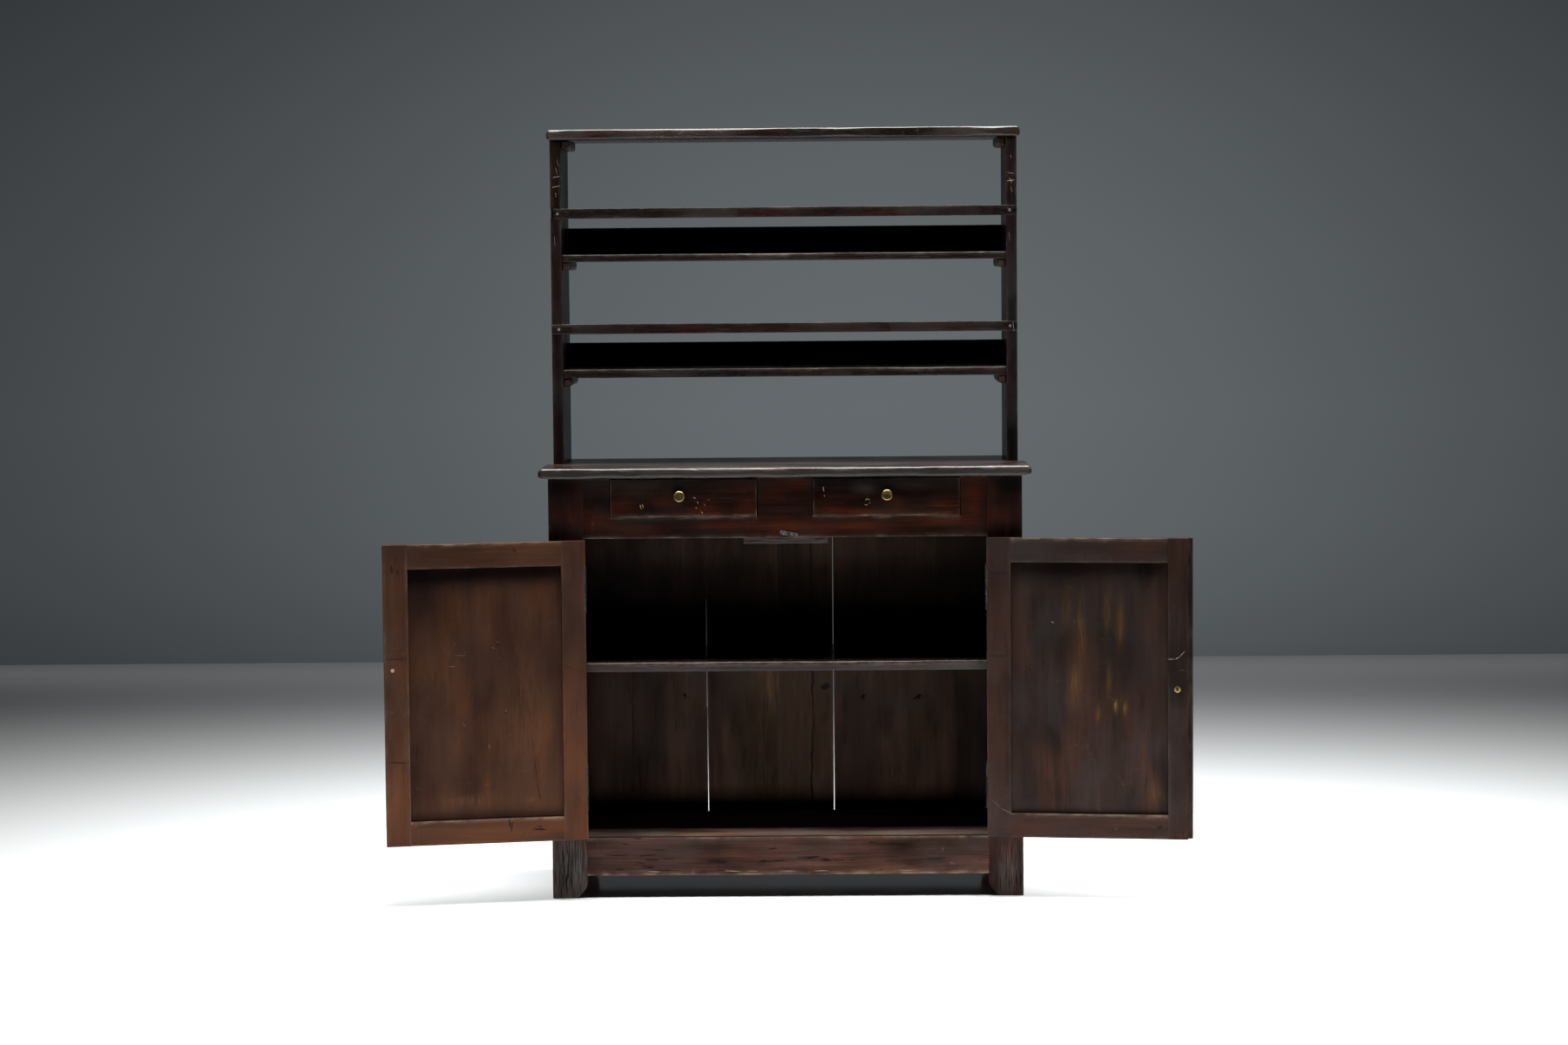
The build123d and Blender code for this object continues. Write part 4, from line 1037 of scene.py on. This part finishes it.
# %% Drawer fronts
# The faint grey spots near the drawers' top edges (strength 0.06 and 0.08) are a painted sheen; the warm ones
# are stains.
drawer_marks = {
    "left": [(-372, 926, 34, 20, -0.38), (-282, 936, 30, 12, -0.5), (-188, 922, 30, 20, -0.4),
             (-90, 926, 20, 20, -0.4), (-330, 976, 60, 10, 0.06), (-205, 936, 20, 16, 0.16)],
    "right": [(100, 916, 34, 13, -0.35), (262, 924, 20, 20, -0.45), (375, 926, 38, 17, -0.48),
              (170, 910, 38, 8, -0.4), (185, 966, 30, 16, 0.14), (300, 972, 50, 12, 0.08)],
}
for side, marks in drawer_marks.items():
    low, high = box(side + "_drawer_front")
    inset = np.array([drawer_play, 0, 0])
    # The shade spot along each drawer's top is painted shade under the worktop; the heavy rub on the bottom
    # arris is partly a painted highlight.
    dress(side + "_drawer_face", (low + inset, high - inset), front_wood, "front_wood",
          side + "_drawer_front", side + "_drawer", arris=(1.4, 0.6, 0.6, 1.2), nicks=1.5, spacing=4,
          marks=spots(front_y, 10, marks), shades=spots(front_y, 10, [(0, 992, 600, 22, 0.7)]),
          rub=(1.8, 1, 0.2, 0.3), ends=0.6)
print("drawer fronts: 2")

# %% [markdown]
# ## Turned pieces, nails and screws
#
# A knob is a profile turned about its stem, and so are a nail's head and a screw's: only the profile, the
# place and the way it faces differ.

# %% Turning a profile
def across_of(out):
    """Two directions across out, so that the first x the second = out."""
    out = np.array(out, float)
    first = np.cross((0, 0, 1) if abs(out[2]) < 0.9 else (0, 1, 0), out)
    first /= np.linalg.norm(first)
    return first, np.cross(out, first)


def turned(profile, centres, out, sides):
    """Rings (pieces, stations, sides, 3): a profile of (radius, stand) in mm turned about out at centres."""
    radius, stand = np.array(profile, float).T * MM
    turn = np.arange(sides) / sides * 2 * math.pi
    first, second = across_of(out)
    circle = np.cos(turn)[:, None] * first + np.sin(turn)[:, None] * second
    rings = radius[:, None, None] * circle + stand[:, None, None] * np.array(out, float)
    return rings[None] + np.array(centres, float).reshape(-1, 1, 1, 3)


def middle_of(node_name):
    """Middle of a node's box."""
    low, high = box(node_name)
    return (low + high) / 2


knob_profile = [(4.3, -13.5), (4.3, 0.2), (4.3, 9), (5.0, 12), (7.5, 13.4), (12.4, 13.7), (13.1, 14.2),
                (13.15, 15.6), (12.9, 16.3), (12.0, 17.4), (11.4, 18.0), (10.9, 18.3), (10.4, 18.1),
                (9.9, 17.4), (6, 17.1), (0.6, 17.0)]
knob_wear = [0, 0, 0, 0, 0, 0.2, 0.5, 0.6, 0.8, 1, 1, 0.9, 0.3, 0, 0, 0]
front_plane = box("apron_board")[0][1]


def brass_piece(name, profile, wear, seat, out, sides, body, node_name, place=None):
    """Turned brass on its seat, with a wear for each point of its profile."""
    rings = turned(profile, [seat], out, sides)
    wear = np.broadcast_to(np.array(wear, float)[None, :, None], rings.shape[:3])
    mesh = tube_mesh(name, place(rings) if place else rings, {"wear": wear})
    show(name, mesh, brass, body, "brass", node_name)


def knob(name, centre, body, node_name, stem=1.0, place=None):
    """Knob standing on the front plane; the stem behind the face is stretched by a factor."""
    profile = [(radius, stand * stem if stand < 0 else stand) for radius, stand in knob_profile]
    seat = (centre[0], front_plane, centre[2])
    brass_piece(name, profile, knob_wear, seat, (0, -1, 0), 64, body, node_name, place)


for side in ("left", "right"):
    name = side + "_drawer"
    knob(side + "_brass_knob", middle_of(name + "_knob"), name, name + "_knob")
knob_middle = sum(shut_box("right", "knob")) / 2
knob("door_brass_knob", knob_middle, "right_door", "right_door_knob", 1.9, open_door("right"))
nut_profile = [(7.4, 0), (7.4, 1.2), (6.9, 2.1), (5.6, 2.5), (4.9, 2.5), (4.7, 1.6), (2.6, 1.5), (2.2, 0.6),
               (0.5, 0.5)]
nut_wear = [0, 0.4, 1, 1, 0.8, 0, 0.3, 0, 0]
nut_seat = (knob_middle[0], shut_box("right", "nut")[0][1], knob_middle[2])
brass_piece("brass_nut", nut_profile, nut_wear, nut_seat, (0, 1, 0), 48, "right_door", "right_door_nut",
            open_door("right"))
print("brass pieces: 4")

# %% [markdown]
# Nails have flat forged heads, driven almost flush. They hold the back boards to the two rear rails, the
# rack's top board and its shelves to the uprights, and the plate rails in their notches.

# %% Nails and hinge screws
nail_profile = [(2.6, -0.6), (3.4, 0.1), (3.2, 0.5), (2.2, 0.8), (0.4, 0.9)]
screw_profile = [(3.4, -0.5), (3.4, 0.12), (3.1, 0.3), (0.3, 0.35)]


def nails(name, centres, out, body="carcase", place=None, profile=nail_profile):
    """One mesh of nails or screws, with centres in mm, facing out."""
    rings = turned(profile, np.array(centres) * MM, out, 20)
    wear = 0.5 + 0.5 * noise(rings, 3, len(name))
    mesh = tube_mesh(name, place(rings) if place else rings, {"wear": wear})
    show(name, mesh, iron, body, "iron")


board_middles = [middle_of(f"back_board_{n}")[0] / MM + shift for n in (1, 2, 3, 4) for shift in (-45, 45)]
rear_rail_heights = (947, 100)
back_nail_y, rail_nail_y, top_nail_z = 220.0, -30.8, 1811.0
top_nail_x, side_nail_x, rail_nail_x = 541, 554.4, 538
post_screw_x, door_screw_x, screw_y = 472.95, 471.45, -209
astray_x, astray_z = 4, 5
nails("back_nails", [(x + astray_x * math.sin(x), back_nail_y, z + astray_z * math.cos(x))
                     for x in board_middles for z in rear_rail_heights], (0, 1, 0))
nails("top_board_nails", [(x, y, top_nail_z) for x in (-top_nail_x, top_nail_x) for y in (20, 120, 195)],
      (0, 0, 1))
side_rows = [box(n + "_rack_shelf")[1][2] / MM - 9 for n in ("upper", "lower")] + [1003]
rail_rows = [middle_of(n + "_plate_rail")[2] / MM for n in ("upper", "lower")]
leaf_heights = [low / MM + f for low, _ in hinge_spans for f in (14, 54, 94)]
for sign, side in ((-1, "left"), (1, "right")):
    nails(side + "_side_nails", [(sign * side_nail_x, y, z) for z in side_rows for y in (15, 105, 190)],
          (sign, 0, 0))
    nails(side + "_rail_nails", [(sign * rail_nail_x, rail_nail_y, z) for z in rail_rows], (0, -1, 0))
    nails(side + "_post_screws", [(sign * post_screw_x, screw_y, z) for z in leaf_heights], (-sign, 0, 0),
          profile=screw_profile)
    nails(side + "_door_screws", [(sign * door_screw_x, screw_y, z) for z in leaf_heights], (sign, 0, 0),
          side + "_door", open_door(side), screw_profile)
print("nail and screw meshes: 10")

# %% [markdown]
# ## Checks, holes and scratches
#
# Dried-out boards have opened in short checks along the grain, and wax and dirt fill them, so each is a
# dark sliver level with the wood. Scratches through the stain are slivers of pale wood. Either is a flat
# lens carried along a nearly straight line: broad in its middle, a point at both ends.

# %% Sliver recipe
dirt = speckled("wax and dirt in checks", "#020101", "#120c09", 900.0, 2.0, 0.8, 0.1)
bare = speckled("bare wood in scratches", "#3a2f28", "#8a7866", 700.0, 2.0, 0.7, 0.15)
SLIVER_STAND = 0.1 * MM


def slivers(name, material, face, lines, body="carcase", slot="front_wood", outward=-1, place=None):
    """Flat lenses on a face square to y. A line is (x1, z1, x2, z2, width) in mm.

    Half width = 0.62 width * sin(pi t) ^ 0.6 * (1 + 0.6 noise), and the middle wavers by 0.6 width. Each
    stands proud of its face by a tenth of a millimetre, less at its points.
    """
    ends = np.array(lines, float)
    t = np.linspace(0, 1, 26)[None, :, None]
    start, end, width = (ends[:, None, part] * MM for part in (slice(0, 2), slice(2, 4), 4))
    middle = start + (end - start) * t
    run = (end - start) / np.linalg.norm(end - start, axis=-1, keepdims=True)
    along = np.stack([run[..., 0], 0 * run[..., 0], run[..., 1]], -1)
    out = np.array([0.0, outward, 0.0])
    sideways = np.cross(out, along)
    centre = np.stack([middle[..., 0], face + 0 * middle[..., 0], middle[..., 1]], -1)
    seed = sum(map(ord, name))
    waver = 0.6 * width * noise(centre, 14, seed)
    ragged = 1 + 0.6 * noise(centre, 4, seed + 1)
    half = 0.62 * width * np.sin(math.pi * t[..., 0]) ** 0.6 * ragged + 0.02 * MM
    lens = np.array([(-1, 0), (-0.5, -1), (0.5, -1), (1, 0), (0.5, 1), (-0.5, 1)])
    rings = centre + waver[..., None] * sideways
    rings = rings[:, :, None] + (half[..., None, None] * lens[:, 0:1]) * sideways[:, :, None]
    rings = rings + SLIVER_STAND * np.minimum(1, half / (0.3 * MM))[..., None, None] * lens[:, 1:2] * out
    show(name, tube_mesh(name, place(rings) if place else rings), material, body, slot)


print("a sliver stands proud by", round(SLIVER_STAND / MM, 2), "mm")

# %% Slivers on the front and the back
upright_face, back_face = box("left_upright")[0][1], box("back_board_2")[0][1]
front_slivers = {
    "rail_checks": (dirt, front_plane, "front_wood", [
        (-434, 102, -375, 102, 1.9), (-315, 114, -288, 113, 1.8), (-362, 84, -338, 82, 2.2),
        (-352, 76, -312, 73, 2.0), (-338, 90, -300, 92, 3.0), (-300, 93, -264, 92, 2.2),
        (-190, 87, -143, 86, 4.3), (-68, 84, -38, 86, 4.1), (-36, 87, -8, 86, 2.4), (78, 88, 104, 86, 4.1),
        (104, 86, 134, 88, 2.4), (142, 86, 164, 86, 1.4), (-330, 66, -250, 64, 1.6),
        (-440, 72, -418, 70, 1.4), (-170, 66, -150, 64, 1.4), (225, 96, 262, 94, 1.4), (-20, 70, 6, 68, 1.6),
        (330, 104, 352, 103, 1.2)]),
    "foot_checks": (dirt, front_plane, "front_wood", [
        (-531, 126, -528, 84, 2.1), (-529, 80, -531, 20, 2.9), (-521, 132, -519, 96, 2.1),
        (-518, 92, -521, 34, 3.4), (-509, 120, -511, 72, 2.1), (-512, 66, -510, 18, 3.1),
        (-500, 112, -502, 60, 1.8), (-524, 60, -523, 10, 2.3), (537, 60, 540, 20, 2.1),
        (545, 120, 547, 70, 2.1), (520, 44, 523, 18, 1.6), (549, 60, 548, 16, 2.9)]),
    "apron_marks": (dirt, front_plane, "front_wood", [
        (77, 860, 81, 860, 4), (-460, 985, -452, 960, 0.8), (300, 892, 340, 891, 0.7)]),
    "upright_scuffs": (bare, upright_face, "dark_wood", [
        (-548, 1699, -532, 1702, 0.9), (-549, 1676, -530, 1679, 1.1), (-541, 1724, -537, 1704, 0.5),
        (-543, 1664, -540, 1652, 0.5), (-546, 1560, -544, 1535, 0.5), (-538, 1745, -535, 1725, 0.4),
        (533, 1702, 549, 1699, 0.8), (532, 1682, 550, 1684, 1.2), (538, 1690, 544, 1676, 0.8),
        (541, 1668, 544, 1655, 0.7), (541, 1744, 543, 1735, 0.6), (536, 1560, 538, 1540, 0.5),
        (545, 1350, 547, 1320, 0.5)]),
    # Pale chips along the bottom rail's lower arris: real chips, and a painted highlight on that arris.
    "rail_edge_chips": (bare, front_plane, "front_wood", [
        (-150, 63, -110, 61.5, 1.0), (-96, 62.5, -70, 61.5, 0.9), (-20, 62, 20, 61.5, 0.8),
        (60, 62, 96, 61.5, 0.9), (-330, 63, -300, 62, 0.8), (260, 62, 300, 61.5, 0.8)]),
    "back_checks": (dirt, back_face, "inside_wood", [
        (58, 560, 60, 380, 4.3), (59, 380, 56, 140, 5.4), (57, 860, 58, 640, 3.6), (-12, 860, -10, 600, 1.8),
        (100, 452, 78, 450, 9.0), (88, 458, 104, 446, 5.4), (190, 428, 176, 420, 6.5),
        (184, 434, 186, 412, 4.3), (330, 428, 306, 420, 7.2), (318, 432, 322, 414, 4.7),
        (-262, 432, -250, 428, 5.4), (-256, 438, -255, 420, 3.6), (-384, 560, -383, 160, 2.5),
        (250, 860, 300, 846, 9.0), (280, 862, 310, 858, 5.4)]),
}
for name, (material, face, slot, lines) in front_slivers.items():
    slivers(name, material, face, lines, slot=slot)
print("front slivers:", len(front_slivers))

# %% Slivers on the doors
frame_face, field_face = (shut_box("left", piece)[1][1] for piece in ("bottom_rail", "panel"))
door_slivers = {
    "left_frame_checks": (dirt, frame_face, [
        (-18, 802, -19, 782, 3.7), (-34, 790, -35, 778, 3.4), (-3, 584, -55, 583, 1.5),
        (-3, 343, -52, 341, 1.5), (-419, 556, -440, 549, 1.0), (-440, 549, -462, 543, 1.0),
        (-285, 204, -286, 180, 2.8), (-291, 196, -289, 168, 1.8), (-342, 176, -372, 173, 3.9),
        (-350, 182, -362, 180, 1.8), (-300, 836, -308, 824, 2.1), (-30, 820, -31, 806, 1.1),
        (-452, 700, -453, 660, 0.9), (-446, 480, -447, 430, 0.9)]),
    "left_panel_checks": (dirt, field_face, [
        (-335, 470, -340, 420, 0.9), (-339, 415, -346, 350, 1.0), (-346, 348, -352, 290, 1.1),
        (-352, 286, -360, 242, 1.4), (-263, 611, -268, 610, 4.0), (-279, 450, -283, 448, 3.4),
        (-329, 562, -333, 561, 3.0), (-118, 690, -119, 640, 0.6), (-200, 520, -201, 470, 0.6),
        (-330, 700, -331, 676, 0.7)]),
    "left_scratches": (bare, field_face, [
        (-250, 604, -258, 601, 0.3), (-150, 562, -166, 561, 0.3), (-262, 617, -268, 616, 0.5),
        (-279, 455, -284, 454, 0.5), (-240, 380, -242, 366, 0.3), (-180, 430, -186, 420, 0.3),
        (-165, 588, -190, 586, 0.2)]),
    "right_frame_checks": (dirt, frame_face, [
        (468, 767, 413, 766, 1.8), (463, 573, 424, 572, 1.7), (240, 816, 243, 796, 1.3),
        (205, 806, 190, 802, 1.4), (62, 175, 76, 172, 3.4), (430, 830, 444, 829, 1.1),
        (452, 640, 453, 600, 0.9), (30, 700, 31, 640, 0.9)]),
    "right_panel_checks": (dirt, field_face, [
        (106, 785, 107, 716, 1.5), (320, 250, 321, 236, 2.0), (100, 300, 101, 262, 1.4),
        (104, 282, 105, 240, 1.0), (180, 236, 181, 220, 1.4), (330, 480, 331, 440, 0.6),
        (238, 700, 239, 660, 0.6)]),
    "right_scratches": (bare, frame_face, [
        (52, 567, 34, 566, 0.9), (34, 566, 22, 573, 0.9), (22, 573, 11, 585, 0.8), (460, 232, 440, 214, 0.35),
        (440, 214, 410, 198, 0.35)]),
    "right_panel_scratches": (bare, field_face, [
        (315, 650, 321, 651, 2.0), (172, 466, 173, 450, 0.5)]),
}
for name, (material, face, lines) in door_slivers.items():
    side = name.split("_")[0]
    slivers(name, material, face, lines, side + "_door", "door_wood", 1, open_door(side))
print("door slivers:", len(door_slivers))

# %% Slivers on the drawers, and the plug in the left door
drawer_scratches = {
    "left": [(-339, 930, -336, 918, 1.6), (-334, 932, -331, 920, 1.0), (-214, 946, -208, 944, 1.2),
             (-205, 936, -202, 930, 1.0), (-198, 914, -192, 908, 1.4), (-210, 922, -206, 921, 1.0),
             (-190, 930, -186, 926, 0.8), (-180, 941, -177, 938, 0.8)],
    "right": [(188, 936, 193, 940, 1.4), (193, 940, 199, 936, 1.4), (186, 926, 194, 924, 1.2),
              (196, 928, 201, 931, 1.0), (90, 968, 92, 956, 1.4), (92, 950, 93, 944, 1.0)],
}
for side, lines in drawer_scratches.items():
    slivers(side + "_drawer_scratches", bare, front_plane, lines, side + "_drawer")
plug_profile = [(4.2, -0.4), (4.6, 0.2), (4.2, 0.45), (3.2, 0.4), (2.4, 0.1), (0.4, 0.05)]
plug_rings = turned(plug_profile, [np.array((-18, frame_face / MM, 557)) * MM], (0, 1, 0), 28)
show("door_plug", tube_mesh("door_plug", open_door("left")(plug_rings)), bare, "left_door", "door_wood")
print("drawer slivers: 2, plug: 1")

# %% [markdown]
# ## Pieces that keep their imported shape
#
# Hinges, pins, the turn button, runners, battens and the insides of the drawers keep their exact shape. A
# weld joins their loose triangles and a small bevel breaks their edges, which is all that a plain batten
# needs.

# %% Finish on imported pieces
kept = [
    (iron, ["frame_hinge_leaves", "hinge_pins", "left_door_hinge_leaves", "right_door_hinge_leaves",
            "turn_button_screw"]),
    (rubbed_iron, ["turn_button"]),
    (raw_wood["x"], ["rear_rails", "left_drawer_back", "right_drawer_back"]),
    (raw_wood["y"], ["inner_bearers", "drawer_runners", "left_drawer_sides", "right_drawer_sides",
                     "left_drawer_bottom", "right_drawer_bottom"]),
]
bevel_size, bevel_segments, bevel_from = 0.5 * MM, 2, math.radians(50)
for material, names in kept:
    for node_name in names:
        piece = frame["nodes"][node_name]
        piece.data.materials.clear()
        piece.data.materials.append(material)
        piece.modifiers.new("weld", "WELD").merge_threshold = 0.01 * MM
        bevel = piece.modifiers.new("bevel", "BEVEL")
        bevel.width, bevel.segments = bevel_size, bevel_segments
        bevel.limit_method, bevel.angle_limit = "ANGLE", bevel_from
print("packed pieces kept:", sum(len(names) for _, names in kept))

# %% [markdown]
# ## Stage and light
#
# A pale floor under a broad soft lamp overhead: light pools on the floor around the cupboard and falls off
# behind it. The wood's fronts get only what grazes them and what the floor throws back, so they are dark
# and their upper arrises shine. A low lamp in front lifts the fronts a little and is kept off the floor, and
# a weak one far behind lights the floor's rim. The floor is a square with well rounded corners.

# %% Floor
floor_reach, corner_power = 5.04, 9
turn = (np.arange(360) + 0.5) / 360 * 2 * math.pi
spread = (np.abs(np.cos(turn)) ** corner_power + np.abs(np.sin(turn)) ** corner_power) ** (-1 / corner_power)
rim = floor_reach * np.stack([spread * np.cos(turn), spread * np.sin(turn), 0 * turn], -1)
floor_mesh = bpy.data.meshes.new("floor")
floor_mesh.from_pydata(rim.tolist(), [], [list(range(len(rim)))])
floor = bpy.data.objects.new("floor", floor_mesh)
bpy.context.scene.collection.objects.link(floor)
floor_paint, _, floor_shader = blank("pale painted floor")
feed(floor_shader, {"Base Color": colour("#e6e8e8"), "Roughness": 0.12})
floor_mesh.materials.append(floor_paint)
print("floor from side to side, in metres:", 2 * floor_reach)

# %% [markdown]
# The room beyond the floor is the world's background: a grey wall, lightest behind the cupboard at the
# height of the worktop. Only the camera and mirrored rays to the back see that wall. All other rays meet a
# nearly dark room, or the dark wood would turn milky.

# %% Room
wall_edge, wall_glow = 0.045, 0.099
world = bpy.data.worlds.new("room")
bpy.context.scene.world = world
world.use_nodes = True
room = world.node_tree
parts = node(room, "SeparateXYZ", {0: node(room, "TexCoord", out="Generated")}).node.outputs
bearing = reckon(room, parts[0], ("ARCTAN2", parts[1]))
sideways = reckon(room, bearing, ("SUBTRACT", math.radians(0.7)), ("DIVIDE", math.radians(10.5)))
glow = reckon(room, sideways, ("MULTIPLY", sideways), ("MULTIPLY", -1.0), ("EXPONENT", 0.0))
level = node(room, "Math", {0: glow, 1: wall_glow, 2: wall_edge}, operation="MULTIPLY_ADD")
rise = node(room, "MapRange", {"Value": parts[2], "From Min": -0.107, "From Max": 0.072})
up_the_wall = node(room, "ValToRGB", {0: rise})
# The wall is painted light and shade: wall_glow is a painted pool of light behind the cupboard, and the grey
# is painted darker towards the wall's foot and its top.
wall_stops = [(0, 0.66), (0.03, 0.74), (0.12, 0.87), (0.21, 0.95), (0.38, 1.0), (0.6, 0.93), (0.8, 0.80),
              (1, 0.62)]
stops = up_the_wall.node.color_ramp.elements
while len(stops) < len(wall_stops):
    stops.new(0.5)
for stop, (place, grey) in zip(stops, wall_stops):
    stop.position, stop.color = place, (grey, grey, grey, 1)
wall_level = reckon(room, level, ("MULTIPLY", up_the_wall))
wall = node(room, "VectorMath", {0: (0.90, 1.0, 1.07), "Scale": wall_level}, operation="SCALE")
rays = node(room, "LightPath").node.outputs
behind = node(room, "MapRange", {"Value": parts[1], "From Min": 0.2, "From Max": 0.7})
mirrored = reckon(room, rays["Is Glossy Ray"], ("MULTIPLY", behind))
seen = reckon(room, rays["Is Camera Ray"], ("MAXIMUM", mirrored))
dark_room = (0.012, 0.0125, 0.013, 1)
shown = node(room, "Mix", {0: seen, 6: dark_room, 7: wall}, 2, data_type="RGBA")
feed(room.nodes["Background"], {"Color": shown})
print("wall level at its lightest:", round(wall_edge + wall_glow, 3))


# %% Lamps
def lamp(name, place, target, size, power, spread):
    """Rectangular soft lamp at a place, facing a target; a grid keeps its light within spread degrees.

    Only the overhead lamp is mirrored in the polish.
    """
    data = bpy.data.lights.new(name, "AREA")
    data.shape = "RECTANGLE"
    data.size, data.size_y = size
    data.energy = power
    data.spread = math.radians(spread)
    made = bpy.data.objects.new(name, data)
    bpy.context.scene.collection.objects.link(made)
    made.location = place
    made.rotation_mode = "QUATERNION"
    made.rotation_quaternion = (Vector(target) - Vector(place)).to_track_quat("-Z", "Y")
    made.visible_camera = made.visible_glossy = name == "overhead_softbox"


lamp("overhead_softbox", (0.25, -0.15, 3.3), (0.25, -0.15, 0.0), (3.2, 1.8), 310, 118)
lamp("front_floor_softbox", (0.1, -2.2, 3.3), (0.1, -2.2, 0.0), (3.6, 1.2), 130, 45)
lamp("low_front_softbox", (0.0, -1.15, 0.05), (0.0, 0.0, 0.25), (2.6, 0.1), 9, 75)
not_on_floor = bpy.data.collections.new("not_on_floor")
not_on_floor.objects.link(floor)
not_on_floor.collection_objects[0].light_linking.link_state = "EXCLUDE"
bpy.data.objects["low_front_softbox"].light_linking.receiver_collection = not_on_floor
lamp("far_floor_softbox", (0.0, 4.75, 1.2), (0.0, 4.75, 0.0), (8.0, 0.4), 5, 90)
bpy.context.scene.view_settings.view_transform = "Standard"
